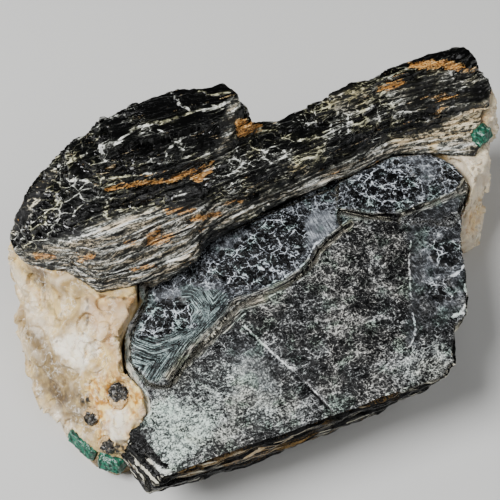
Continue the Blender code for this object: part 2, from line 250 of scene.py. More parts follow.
@dataclass(frozen=True)
class Mark:
    """A line or an area of the surface, given by where it shows in the picture.

    Attributes:
        points: Corners in pixels of the 500 by 500 picture.
        width: Width of a line, or softness of an area's edge, in pixels.
        strength: How strong the mark is, from 0 to 1.
        filled: True for an area, False for a line.
    """

    points: Pixels
    width: float
    strength: float = 1.0
    filled: bool = False

    def distance(self, pixels: np.ndarray) -> np.ndarray:
        """How far each of the pixels is from the line or the area's border, less than 0 inside.

        Args:
            pixels: Places in the picture.

        Returns:
            Distances in pixels.
        """
        corners = np.asarray(self.points, float)
        ends = np.roll(corners, -1, axis=0) if self.filled else corners[1:]
        nearest = np.full(len(pixels), 1e9)
        inside = np.zeros(len(pixels), bool)
        for start, end in zip(corners, ends):
            along = end - start
            share = np.clip(((pixels - start) @ along) / max(along @ along, 1e-9), 0, 1)
            gap = np.linalg.norm(pixels - start - share[:, None] * along, axis=1)
            nearest = np.minimum(nearest, gap)
            if self.filled and start[1] != end[1]:
                spans = (start[1] > pixels[:, 1]) != (end[1] > pixels[:, 1])
                cross = start[0] + (pixels[:, 1] - start[1]) * along[0] / along[1]
                inside ^= spans & (pixels[:, 0] < cross)
        return np.where(inside, -nearest, nearest)

    def shade(self, pixels: np.ndarray) -> np.ndarray:
        """How strongly the mark covers each of the pixels, from 0 to 1.

        Args:
            pixels: Places in the picture.

        Returns:
            One value for each pixel.
        """
        distance = self.distance(pixels)
        if self.filled:
            return self.strength * smooth(self.width, -self.width, distance)
        return self.strength * smooth(self.width * 0.75, self.width * 0.3, distance)

    def stroke(self, pixels: np.ndarray) -> np.ndarray:
        """How near the pixels are to the line: 1 at its border, more inside, 0 far away.

        Args:
            pixels: Places in the picture.

        Returns:
            One value for each pixel.
        """
        inside = (self.width / 2 - self.distance(pixels)) / STROKE_FALL
        return np.maximum(1 + inside - 0.25 * (1 - self.strength), 0.0)


def area(*points: tuple[float, float], soft: float = 5.0, strength: float = 1.0) -> Mark:
    """An area with a soft edge."""
    return Mark(points, soft, strength, filled=True)


def line(width: float, *points: tuple[float, float], strength: float = 1.0) -> Mark:
    """A line of one width."""
    return Mark(points, width, strength)


@dataclass(frozen=True)
class Lens:
    """The camera that took the picture, in the specimen's frame.

    Attributes:
        azimuth: Where it stands, in degrees from the front.
        elevation: How far above the horizon it stands, in degrees.
        distance: From the camera to the target, in mm.
        target: The point that it looks at, in mm.
        focal: Focal length in mm.
        sensor: Sensor width in mm.
        picture: Width and height of the picture in pixels.
    """

    azimuth: float = -25.0
    elevation: float = 55.0
    distance: float = 228.0
    target: tuple[float, float, float] = (-5.0, 6.6, 14.0)
    focal: float = 80.0
    sensor: float = 36.0
    picture: int = 500

    def backwards(self) -> np.ndarray:
        """The unit vector from the target to the camera."""
        a, e = math.radians(self.azimuth), math.radians(self.elevation)
        return np.array([math.sin(a) * math.cos(e), -math.cos(a) * math.cos(e), math.sin(e)])

    def eye(self) -> np.ndarray:
        """Where the camera stands, in mm."""
        return np.asarray(self.target) + self.backwards() * self.distance

    def pixels(self, points: Points) -> np.ndarray:
        """Where points in mm show in the picture.

        Args:
            points: Places in mm.

        Returns:
            Their pixels.
        """
        forward = -self.backwards()
        right = np.cross(forward, (0, 0, 1))
        right /= np.linalg.norm(right)
        above = np.cross(right, forward)
        way = points - self.eye()
        scale = self.focal / self.sensor * self.picture / (way @ forward)
        half = self.picture / 2
        return np.stack([half + (way @ right) * scale, half - (way @ above) * scale], axis=1)

    def facing(self, points: Points, normals: np.ndarray) -> np.ndarray:
        """1 where the surface faces the camera, falling to 0 where it turns away.

        Args:
            points: Places in mm.
            normals: The way that the surface faces at each of them.

        Returns:
            One value for each point.
        """
        way = self.eye() - points
        way /= np.linalg.norm(way, axis=1)[:, None]
        return smooth(-0.05, 0.2, np.sum(way * normals, axis=1))

    def set_up(self) -> bpy.types.Object:
        """Makes the scene's camera.

        Returns:
            The camera.
        """
        bpy.ops.object.camera_add(location=Vector(self.eye()) * MM)
        camera = bpy.context.object
        camera.name = "camera"
        camera.data.lens = self.focal
        camera.data.sensor_width = self.sensor
        camera.data.clip_start = 0.01
        camera.data.clip_end = 20.0
        camera.rotation_euler = Vector(-self.backwards()).to_track_quat("-Z", "Y").to_euler()
        bpy.context.scene.camera = camera
        return camera


LENS = Lens()


# Finishes


def srgb(code: str) -> tuple[float, float, float, float]:
    """Turns a hex colour such as #a0b0c0 into linear light for a shader.

    Args:
        code: The colour in sRGB.

    Returns:
        Red, green, blue and alpha.
    """
    channels = [int(code[i : i + 2], 16) / 255 for i in (1, 3, 5)]
    linear = [c / 12.92 if c <= 0.04045 else ((c + 0.055) / 1.055) ** 2.4 for c in channels]
    return (*linear, 1.0)


class Graph:
    """A material's nodes, laid one call at a time."""

    def __init__(self, name: str) -> None:
        """Starts an empty material.

        Args:
            name: What the material is called.
        """
        self.material = bpy.data.materials.new(name)
        self.material.use_nodes = True
        self.tree = self.material.node_tree
        self.tree.nodes.clear()

    def add(self, kind: str, inputs: dict, **settings: object) -> bpy.types.Node:
        """Adds one node.

        Args:
            kind: The node's type.
            inputs: Input names or numbers, each with a value, a node or a socket.
            settings: The node's own properties.

        Returns:
            The node. Its first output is used where it is given as an input.
        """
        node = self.tree.nodes.new(kind)
        for name, value in settings.items():
            setattr(node, name, value)
        for name, value in inputs.items():
            if isinstance(value, bpy.types.Node):
                value = value.outputs[0]
            if isinstance(value, bpy.types.NodeSocket):
                self.tree.links.new(value, node.inputs[name])
            else:
                node.inputs[name].default_value = value
        return node

    def centred(self, value: Value) -> bpy.types.Node:
        """The value less a half, so that it goes both ways from 0."""
        return self.add("ShaderNodeMath", {0: value, 1: 0.5}, operation="SUBTRACT")

    def times(self, *values: Value) -> bpy.types.Node:
        """The product of all the values.

        Args:
            values: What to multiply.

        Returns:
            The product.
        """
        first, *rest = values
        for value in rest:
            first = self.add("ShaderNodeMath", {0: first, 1: value}, operation="MULTIPLY")
        return first

    def grade(self, value: Value, low: float, high: float) -> bpy.types.Node:
        """0 at low, 1 at high, smooth between.

        Args:
            value: What to grade.
            low: Where the rise starts; above high for a fall.
            high: Where it ends.

        Returns:
            A value from 0 to 1.
        """
        return self.add(
            "ShaderNodeMapRange",
            {"Value": value, "From Min": low, "From Max": high},
            interpolation_type="SMOOTHSTEP",
        )

    def blend(self, share: Value, one: Colour, other: Colour) -> bpy.types.NodeSocket:
        """A colour between two colours, each a hex code or a socket.

        Args:
            share: 0 for the first colour, 1 for the second.
            one: The first colour.
            other: The second colour.

        Returns:
            The colour.
        """
        colours = [srgb(c) if isinstance(c, str) else c for c in (one, other)]
        node = self.add(
            "ShaderNodeMix", {0: share, 6: colours[0], 7: colours[1]}, data_type="RGBA"
        )
        return node.outputs[2]

    def layer(self, name: str) -> bpy.types.NodeSocket:
        """A value that the mesh carries at its vertices."""
        return self.add("ShaderNodeAttribute", {}, attribute_name=name).outputs["Fac"]

    def place(self, stretch: Sequence[float] = (1, 1, 1)) -> bpy.types.Node:
        """Object coordinates in mm, divided by the stretch along each axis.

        Args:
            stretch: How many times longer the pattern is along each axis.

        Returns:
            The coordinates.
        """
        own = self.add("ShaderNodeTexCoord", {}).outputs["Object"]
        return self.add(
            "ShaderNodeVectorMath", {0: own, 1: tuple(1 / (MM * s) for s in stretch)},
            operation="MULTIPLY",
        )

    def waver(self, place: Value, size: float, amount: float) -> bpy.types.Node:
        """Places shifted at random by up to the amount, in bumps of that size in mm.

        Args:
            place: The places.
            size: Size of a bump in mm.
            amount: Largest shift in mm.

        Returns:
            The shifted places.
        """
        shift = self.add("ShaderNodeTexNoise", {"Vector": place, "Scale": 1 / size, "Detail": 2})
        centred = self.add(
            "ShaderNodeVectorMath", {0: shift.outputs["Color"], 1: (0.5, 0.5, 0.5)},
            operation="SUBTRACT",
        )
        scaled = self.add(
            "ShaderNodeVectorMath", {0: centred, "Scale": 2 * amount}, operation="SCALE"
        )
        return self.add("ShaderNodeVectorMath", {0: place, 1: scaled}, operation="ADD")

    def clouds(self, place: Value, size: float, detail: float = 3.0) -> bpy.types.NodeSocket:
        """Noise from 0 to 1 in bumps of that size in mm.

        Args:
            place: Where to read the pattern.
            size: Size of a bump in mm.
            detail: How many times the bumps are halved.

        Returns:
            The noise.
        """
        node = self.add("ShaderNodeTexNoise", {"Vector": place, "Scale": 1 / size, "Detail": detail})
        return node.outputs["Fac"]

    def cracks(self, place: Value, size: float, thin: float) -> bpy.types.Node:
        """1 on the borders of random cells of that size in mm, 0 between them.

        Args:
            place: Where to read the pattern.
            size: Size of a cell in mm.
            thin: Width of a border as a share of the size.

        Returns:
            A value from 0 to 1.
        """
        edge = self.add(
            "ShaderNodeTexVoronoi", {"Vector": place, "Scale": 1 / size},
            feature="DISTANCE_TO_EDGE",
        )
        return self.grade(edge.outputs["Distance"], thin, thin * 0.25)

    def veins(self, place: Value, size: float, thin: float, detail: float = 3.0) -> bpy.types.Node:
        """1 on wandering hairlines about that size in mm apart, with a faint glow.

        Args:
            place: Where to read the pattern.
            size: Distance between the lines in mm.
            thin: How wide the lines are, in units of the noise that they follow.
            detail: How ragged they are.

        Returns:
            A value from 0 to 1.
        """
        value = self.clouds(place, size, detail)
        near = self.add("ShaderNodeMath", {0: self.centred(value)}, operation="ABSOLUTE")
        return self.total((self.grade(near, thin, 0.0), 0.8), (self.grade(near, thin * 4, 0.0), 0.2))

    def borders(self, place: Value, size: float, thin: float) -> bpy.types.Node:
        """1 on the borders of random cells of that size in mm, with a faint glow.

        Args:
            place: Where to read the pattern.
            size: Size of a cell in mm.
            thin: Width of a border as a share of the size.

        Returns:
            A value from 0 to 1.
        """
        edge = self.add(
            "ShaderNodeTexVoronoi", {"Vector": place, "Scale": 1 / size},
            feature="DISTANCE_TO_EDGE",
        ).outputs["Distance"]
        return self.total((self.grade(edge, thin, 0.0), 0.80), (self.grade(edge, 0.28, 0.0), 0.20))

    def grains(self, place: Value, size: float) -> bpy.types.Node:
        """A random value from 0 to 1 for each random cell of that size in mm.

        Args:
            place: Where to read the pattern.
            size: Size of a cell in mm.

        Returns:
            The value.
        """
        cell = self.add("ShaderNodeTexVoronoi", {"Vector": place, "Scale": 1 / size})
        return self.add("ShaderNodeSeparateColor", {0: cell.outputs["Color"]})

    def inked(self, name: str, place: Value, broken: float = 0.8) -> bpy.types.Node:
        """1 along the strokes of a layer, with borders as uneven as asked.

        Args:
            name: The layer.
            place: Where to read the pattern of the borders.
            broken: How uneven the borders are.

        Returns:
            A value from 0 to 1.
        """
        uneven = self.times(self.centred(self.clouds(place, 1.1, 4.0)), broken)
        return self.grade(self.total(self.layer(name), uneven), 0.88, 1.02)

    def tint(self, share: Value, colour: bpy.types.NodeSocket, code: str) -> bpy.types.NodeSocket:
        """The colour seen through a thin film of another colour.

        Args:
            share: How thick the film is, from 0 to 1.
            colour: The colour below.
            code: The film's hex colour.

        Returns:
            The colour.
        """
        return self.add(
            "ShaderNodeMix", {0: share, 6: colour, 7: srgb(code)},
            data_type="RGBA", blend_type="MULTIPLY",
        ).outputs[2]

    def specks(self, place: Value, size: float, share: float) -> bpy.types.Node:
        """1 in that share of random grains of that size in mm.

        Args:
            place: Where to read the pattern.
            size: Size of a grain in mm.
            share: How many of the grains count.

        Returns:
            A value from 0 to 1.
        """
        grain = self.add("ShaderNodeTexVoronoi", {"Vector": place, "Scale": 1 / size})
        split = self.add("ShaderNodeSeparateColor", {0: grain.outputs["Color"]})
        return self.grade(split, 1 - share, 1 - share * 0.6)

    def shifting_planes(self, place: Value, size: float) -> bpy.types.NodeSocket:
        """Heights of random little planes of that size in mm, each with its own tilt.

        Args:
            place: Where to read the pattern.
            size: Size of a plane in mm.

        Returns:
            The heights.
        """
        grain = self.add("ShaderNodeTexVoronoi", {"Vector": place, "Scale": 1 / size})
        way = self.add(
            "ShaderNodeVectorMath",
            {0: self.add("ShaderNodeVectorMath", {0: place, "Scale": 1 / size}, operation="SCALE"),
             1: grain.outputs["Position"]},
            operation="SUBTRACT",
        )
        tilt = self.add(
            "ShaderNodeVectorMath", {0: grain.outputs["Color"], 1: (0.5, 0.5, 0.5)},
            operation="SUBTRACT",
        )
        return self.add(
            "ShaderNodeVectorMath", {0: way, 1: tilt}, operation="DOT_PRODUCT"
        ).outputs["Value"]

    def shaded(self, value: Value, stops: Sequence[tuple[float, str]]) -> bpy.types.NodeSocket:
        """A colour that runs through hex colours, each at its own value.

        Args:
            value: What to colour.
            stops: Values with their hex colours.

        Returns:
            The colour.
        """
        node = self.add("ShaderNodeValToRGB", {"Fac": value})
        elements = node.color_ramp.elements
        while len(elements) < len(stops):
            elements.new(0.5)
        for element, (position, code) in zip(elements, stops):
            element.position = position
            element.color = srgb(code)
        return node.outputs["Color"]

    def total(self, *terms: Value | tuple) -> bpy.types.Node:
        """The sum of terms, each a value or a pair of a value and its weight.

        Args:
            terms: Values, or tuples of values and numbers that are multiplied first.

        Returns:
            The sum.
        """
        parts = [self.times(*term) if isinstance(term, tuple) else term for term in terms]
        first, *rest = parts
        for part in rest:
            first = self.add("ShaderNodeMath", {0: first, 1: part}, operation="ADD")
        return first

    def leaves(self, along: float, across: float) -> bpy.types.Node:
        """Places that run along the sheets: their sizes in mm along and across them.

        Args:
            along: Size along the sheets in mm.
            across: Size across them in mm.

        Returns:
            The places.
        """
        own = self.add("ShaderNodeSeparateXYZ", {0: self.place((along, along, 1))})
        leaf = self.layer("leaf")
        height = self.add("ShaderNodeMath", {0: leaf, 1: across}, operation="DIVIDE")
        return self.add("ShaderNodeCombineXYZ", {0: own, 1: own.outputs["Y"], 2: height})

    def highest(self, *values: Value) -> bpy.types.Node:
        """The highest of the values.

        Args:
            values: What to compare.

        Returns:
            The highest.
        """
        first, *rest = values
        for value in rest:
            first = self.add("ShaderNodeMath", {0: first, 1: value}, operation="MAXIMUM")
        return first

    def raised(
        self, height: Value, depth: float, normal: Value | None = None
    ) -> bpy.types.NodeSocket:
        """Surface relief of that depth in mm where the height goes from 0 to 1.

        Args:
            height: The relief.
            depth: Its depth in mm.
            normal: Relief that it is laid on.

        Returns:
            The surface's normal.
        """
        inputs = {"Height": height, "Distance": depth * MM, "Strength": 1.0}
        if normal is not None:
            inputs["Normal"] = normal
        return self.add("ShaderNodeBump", inputs).outputs["Normal"]

    def finish(self, ior: float, inputs: dict, **constants: float | tuple) -> bpy.types.Material:
        """Closes the material with one shader.

        Args:
            ior: Index of refraction.
            inputs: Inputs that nodes feed.
            constants: Inputs set to plain numbers.

        Returns:
            The material.
        """
        shader = self.add("ShaderNodeBsdfPrincipled", {"IOR": ior, **inputs, **constants})
        self.add("ShaderNodeOutputMaterial", {"Surface": shader})
        return self.material


@dataclass(frozen=True)
class SchistFinish:
    """Foliated black mica: dark cleavage, silver broken edges and iron stain.

    Attributes:
        name: What the material is called.
        ior: Index of refraction of phlogopite.
        shades: Colours from the darkest cleavage to the lightest edge.
        stained: Colours of the iron stain, from its dark gaps to its palest crumbs.
    """

    name: str = "phlogopite_mica_schist"
    ior: float = 1.59
    shades: tuple[tuple[float, str], ...] = (
        (0.0, "#010101"), (0.25, "#070807"), (0.45, "#222320"),
        (0.65, "#6c6d66"), (0.83, "#bfc1ba"), (1.0, "#fbfbf5"),
    )
    stained: tuple[tuple[float, str], ...] = (
        (0.0, "#1c1308"), (0.3, "#80521c"), (0.55, "#c9893a"), (0.8, "#e6b66c"), (1.0, "#fbe6bc"),
    )

    def build(self) -> bpy.types.Material:
        """Makes the material.

        Returns:
            The material.
        """
        g = Graph(self.name)
        edge, band, tone = g.layer("edge"), g.layer("band"), g.layer("tone")
        rust, pale, grain = g.layer("rust"), g.layer("pale"), g.layer("grain")
        lobe = g.total(1.0, (band, -1.0))
        long = g.waver(g.place((2.6, 1.0, 1.0)), 2.5, 0.7)
        mid = g.waver(g.place((2.4, 1.0, 1.0)), 2.4, 0.5)
        near = g.waver(g.place((1.3, 1, 1)), 0.8, 0.25)
        cell = g.waver(g.place((1.5, 1.0, 1.0)), 1.2, 0.45)
        # Real leaves are far thinner than these, which are as coarse as they need to show
        strand = g.clouds(g.waver(g.leaves(8.0, 0.5), 3.0, 0.3), 1.0, 4.0)
        thread = g.clouds(g.waver(g.leaves(5.0, 0.22), 2.0, 0.3), 1.0, 3.0)
        speckle = g.centred(g.clouds(near, 0.3, 2.0))
        patchy = g.grade(g.clouds(g.place((1.6, 1, 1)), 4.5, 3.0), 0.42, 0.60)
        other = g.grade(g.clouds(g.place((2.0, 1, 1)), 2.6, 3.0), 0.44, 0.60)
        silver = g.inked("silver", near)
        # Painted sheen beside the silver lines, where bent cleavage catches the light
        glow = g.grade(g.layer("silver"), 0.2, 1.1)

        # How light each place is, from black cleavage to silver edge
        wisps = g.total(
            (g.borders(long, 3.6, 0.035), g.total(0.35, (patchy, 0.65)), 0.60),
            (g.borders(mid, 1.7, 0.05), other, 0.50),
            (g.veins(mid, 1.6, 0.018, 4.0), g.total(0.25, (patchy, 0.75)), 0.45),
        )
        cell_net = g.total(
            (g.borders(cell, 2.6, 0.07), 0.78), (g.borders(cell, 1.1, 0.09), other, 0.40)
        )
        dark = g.total(
            0.0,
            (wisps, g.total(1.0, (grain, -0.5))),
            (cell_net, grain),
            # Painted highlight on the lit brinks of the sheets
            (edge, g.grade(strand, 0.44, 0.58), 0.30),
            (speckle, 0.34),
            (glow, g.grade(g.clouds(near, 1.3, 4), 0.35, 0.62), 0.34),
            (g.layer("fine"), g.borders(mid, 1.2, 0.06), patchy, 0.55),
            (g.layer("fine"), g.veins(mid, 1.4, 0.016, 3.0), 0.45),
            (g.layer("fine"), g.grade(thread, 0.5, 0.66), 0.42),
        )
        splinters = g.waver(g.leaves(5.5, 0.30), 2.5, 0.3)
        gaps = g.grade(
            g.add("ShaderNodeTexVoronoi", {"Vector": splinters, "Scale": 1.0},
                  feature="DISTANCE_TO_EDGE").outputs["Distance"], 0.10, 0.0,
        )
        slivers = g.waver(g.leaves(2.6, 0.15), 2.0, 0.3)
        streaked = g.total(
            0.73,
            (g.centred(g.grains(splinters, 1.0)), 0.32),
            (g.centred(g.grains(slivers, 1.0)), 0.42),
            (g.centred(strand), 0.8),
            (g.centred(thread), 0.9),
            (gaps, -0.34),
            (speckle, 1.2),
        )
        lightness = g.add("ShaderNodeMix", {0: band, 2: dark, 3: streaked}, data_type="FLOAT")
        lightness = g.total(
            lightness,
            (g.centred(tone), 0.7),
            # Painted shade below the brinks
            (g.layer("under"), -0.30),
            (silver, g.grade(g.clouds(near, 0.7, 4), 0.25, 0.62), 0.62),
            (pale, g.grade(g.clouds(near, 0.8, 4), 0.42, 0.58), 0.42),
            (pale, -0.06),
        )
        colour = g.shaded(lightness, self.shades)
        colour = g.tint(g.times(pale, 0.9), colour, "#f0dcb4")
        warm = g.times(band, g.grade(g.clouds(splinters, 1.6), 0.44, 0.58), 0.7)
        colour = g.tint(warm, colour, "#cfb284")
        olive = g.times(g.grade(g.clouds(g.place(), 6), 0.44, 0.6), lobe)
        colour = g.tint(g.times(olive, 0.8), colour, "#d6d0a4")

        # Iron stain, broken up along the foliation
        crumbs = g.total(
            0.48, (speckle, 1.5), (g.centred(thread), 1.6),
            (g.centred(g.grains(slivers, 1.0)), 0.35), (gaps, -0.2),
        )
        broken = g.total(
            rust,
            (g.centred(strand), 1.7),
            (g.centred(thread), 2.0),
            (g.centred(g.grains(slivers, 1.0)), 0.4),
            (speckle, 1.2),
            (gaps, -0.25),
        )
        stain = g.times(g.grade(broken, 0.58, 0.92), 0.88)
        colour = g.blend(stain, colour, g.shaded(crumbs, self.stained))

        dull = g.highest(stain, g.times(band, 0.8), pale)
        roughness = g.total(0.2, (dull, 0.4))
        relief = g.raised(g.shifting_planes(mid, 2.2), 0.08)
        woven = g.total((strand, 0.5), (thread, 0.5))
        relief = g.raised(g.times(woven, g.total(0.15, (band, 0.85))), 0.22, relief)
        relief = g.raised(g.highest(wisps, silver), 0.10, relief)
        return g.finish(
            self.ior, {"Base Color": colour, "Roughness": roughness, "Normal": relief}
        )


@dataclass(frozen=True)
class BookFinish:
    """Phlogopite cleavage: blue black with lilac silver partings, a painted pearly sheen and painted
    glints.

    Attributes:
        name: What the material is called.
        ior: Index of refraction of phlogopite.
        gloss: Specular level; lower where the leaves' edges trap the light.
        shades: Colours from the darkest cleavage to the lightest glint.
    """

    name: str = "phlogopite_cleavage"
    ior: float = 1.59
    gloss: float = 0.36
    shades: tuple[tuple[float, str], ...] = (
        (0.0, "#020203"), (0.25, "#08090a"), (0.45, "#232425"),
        (0.65, "#6d6f70"), (0.83, "#bcbfbe"), (1.0, "#f7f9f7"),
    )

    def build(self) -> bpy.types.Material:
        """Makes the material.

        Returns:
            The material.
        """
        g = Graph(self.name)
        plate, painted_glint, island = g.layer("plate"), g.layer("painted_glint"), g.layer("island")
        edge, rust = g.layer("edge"), g.layer("rust")
        painted_sheen, crinkle = g.layer("painted_sheen"), g.layer("crinkle")
        flat = g.waver(g.place((1, 1, 4)), 3.0, 0.9)
        near = g.waver(g.place((1, 1, 4)), 1.0, 0.3)
        speckle = g.centred(g.clouds(near, 0.32, 2.0))
        # Rims of the ledges and ribs: silvery broken leaves with a painted highlight
        silver = g.inked("rim_silver_and_highlight", near)
        # Painted shadow along the ledges, in the cracks and between the ribs
        groove = g.inked("dark", near, 0.3)
        seam = g.inked("crack", near, 0.4)

        # Partings: clear ones on the upper plates, a tangle of hairs elsewhere
        broad = g.waver(g.place((1, 1, 4)), 2.0, 0.9)
        patchy = g.grade(g.clouds(flat, 3.0), 0.38, 0.58)
        partings = g.total(
            (g.borders(broad, 2.6, 0.03), g.total(0.45, (patchy, 0.55)), 0.55),
            (g.borders(near, 1.1, 0.07), g.grade(g.clouds(flat, 1.6), 0.42, 0.60), 0.42),
            (g.veins(near, 1.3, 0.018, 5.0), 0.36),
            (g.veins(flat, 1.8, 0.014, 5.0), 0.30),
        )
        tangle = g.grade(g.clouds(near, 1.6), 0.40, 0.60)
        net = g.total(
            (g.borders(broad, 3.6, 0.04), g.total(0.5, (patchy, 0.5)), 1.05),
            (g.borders(broad, 1.9, 0.045), tangle, 0.75),
            (g.veins(near, 1.6, 0.016, 5.0), 0.50),
            (g.veins(flat, 2.6, 0.014, 5.0), 0.65),
        )
        calm = g.total(1.0, (painted_sheen, -0.75), (painted_glint, -0.45))
        shade = g.grade(g.clouds(flat, 5.5, 4.0), 0.40, 0.62)
        isle = g.grade(
            g.total(island, (g.centred(g.clouds(near, 2.2, 3.0)), 1.6)), 0.35, 0.6
        )
        hairs = g.total(
            (g.borders(near, 0.9, 0.06), tangle, 0.26),
            (g.veins(near, 0.9, 0.024, 2.0), 0.30),
            (g.veins(near, 1.5, 0.020, 4.0), 0.26),
            (g.veins(broad, 1.6, 0.012, 2.0), 0.36),
            (g.veins(flat, 2.6, 0.014, 3.0), 0.34),
            (g.veins(g.waver(g.place((3.0, 1, 4)), 2.5, 0.8), 1.1, 0.016, 2.0), 0.34),
        )
        fold = g.veins(g.waver(g.place((2.4, 1, 2)), 2, 0.7), 1.3, 0.03, 4.0)
        mottle = g.centred(g.clouds(near, 1.0, 4.0))

        # How light each place is
        on_plate = g.total(
            0.30,
            (partings, calm, 0.95),
            (speckle, calm, 0.8),
            (g.centred(g.clouds(near, 1.4, 4.0)), calm, 0.8),
            (isle, -0.60),
            (isle, net, 1.0),
        )
        on_face = g.total(0.07, (shade, calm, 0.26), (hairs, calm, 1.02), (speckle, calm, 0.5))
        lightness = g.add("ShaderNodeMix", {0: plate, 2: on_face, 3: on_plate}, data_type="FLOAT")
        lightness = g.total(
            lightness,
            # Painted sheen: smooth lighter lilac patches where the face mirrors the light
            (painted_sheen, g.total(0.35, (g.clouds(near, 1.6, 4), 0.5)), 0.54),
            (painted_sheen, g.centred(g.clouds(g.place((0.25, 2.5, 1)), 1.0, 2.0)), 0.7),
            # Painted glints where the face mirrors the light
            (painted_glint, 0.46),
            (painted_glint, mottle, 0.55),
            (painted_glint, fold, 0.22),
            (painted_glint, speckle, 1.3),
            # Real glints are finer; this is as coarse as they need to show
            (painted_glint, g.specks(near, 0.3, 0.12), 0.5),
            (silver, g.total(0.4, (g.clouds(near, 0.9, 3), 0.5)), 0.70),
            (seam, 0.45),
            (groove, -0.9),
        )

        # Thin sheets that end side by side: folds around the islands and along the ledges
        laid = g.waver(g.leaves(4.5, 0.26), 2.0, 0.35)
        thin = g.waver(g.leaves(2.6, 0.13), 2.0, 0.3)
        folded = g.total(
            0.69,
            (g.centred(g.grains(laid, 1.0)), 0.40),
            (g.centred(g.clouds(thin, 1.0, 3.0)), 1.5),
            (g.cracks(laid, 1.0, 0.16), -0.34),
            (speckle, 0.7),
            (silver, 0.2),
            (groove, -0.7),
            (g.layer("strip"), 0.08),
        )
        sheets = g.grade(
            g.total(crinkle, (g.centred(g.clouds(near, 1.2, 3.0)), 0.7)), 0.3, 0.6
        )
        lightness = g.add(
            "ShaderNodeMix", {0: g.times(sheets, 0.85), 2: lightness, 3: folded}, data_type="FLOAT"
        )
        colour = g.shaded(lightness, self.shades)
        ledge = g.times(sheets, g.layer("strip"))
        colour = g.tint(g.times(ledge, 0.8), colour, "#dccfb8")
        # Lilac tint on the painted sheen and on the plates
        cool = g.highest(g.times(painted_sheen, 0.7), g.times(plate, 0.8))
        colour = g.tint(g.times(cool, 0.8), colour, "#d2dbee")
        warm = g.times(g.grade(g.clouds(flat, 7.0), 0.42, 0.58), g.total(1.0, (cool, -1.0)))
        colour = g.tint(g.times(warm, 0.5), colour, "#f0e6da")
        # Greenish tint on the painted glints, on the folded sheets and in patches
        green = g.highest(g.times(painted_glint, 0.8), g.times(sheets, g.total(1.0, (ledge, -1.0))),
                          g.grade(g.clouds(flat, 4.0), 0.5, 0.64))
        colour = g.tint(g.times(green, 0.8), colour, "#d9f0e2")

        # Broken edge of the book, stained brown here and there
        slivers = g.waver(g.leaves(7.0, 0.22), 2.0, 0.3)
        leaf = g.clouds(g.waver(g.leaves(8.0, 0.3), 3.0, 0.35), 1.0, 3.0)
        broken = g.total(
            0.0,
            (g.grade(g.grains(slivers, 1.0), 0.55, 1.0), 1.0),
            (g.centred(leaf), 1.3),
            (speckle, 0.5),
            (silver, 1.2),
            (groove, -1.2),
        )
        leaf_hue = g.shaded(
            broken, ((0.0, "#010101"), (0.35, "#020202"), (0.65, "#2b281e"), (1.0, "#d3cfbd")),
        )
        colour = g.blend(edge, colour, leaf_hue)
        stained = g.times(rust, g.grade(g.total(g.grains(slivers, 1.0), speckle), 0.55, 0.75))
        colour = g.blend(g.times(stained, 0.9), colour, "#9c7a44")

        roughness = g.total(0.18, (g.highest(hairs, painted_sheen), 0.25))
        even = g.total(1.0, (island, -0.8))
        relief = g.raised(g.times(g.shifting_planes(flat, 3.2), even), 0.10)
        relief = g.raised(g.times(g.shifting_planes(near, 0.8), even), 0.06, relief)
        relief = g.raised(g.highest(partings, hairs), 0.04, relief)
        relief = g.raised(g.times(leaf, edge), 0.3, relief)
        return g.finish(
            self.ior,
            {"Base Color": colour, "Roughness": roughness, "Normal": relief},
            **{"Specular IOR Level": self.gloss},
        )


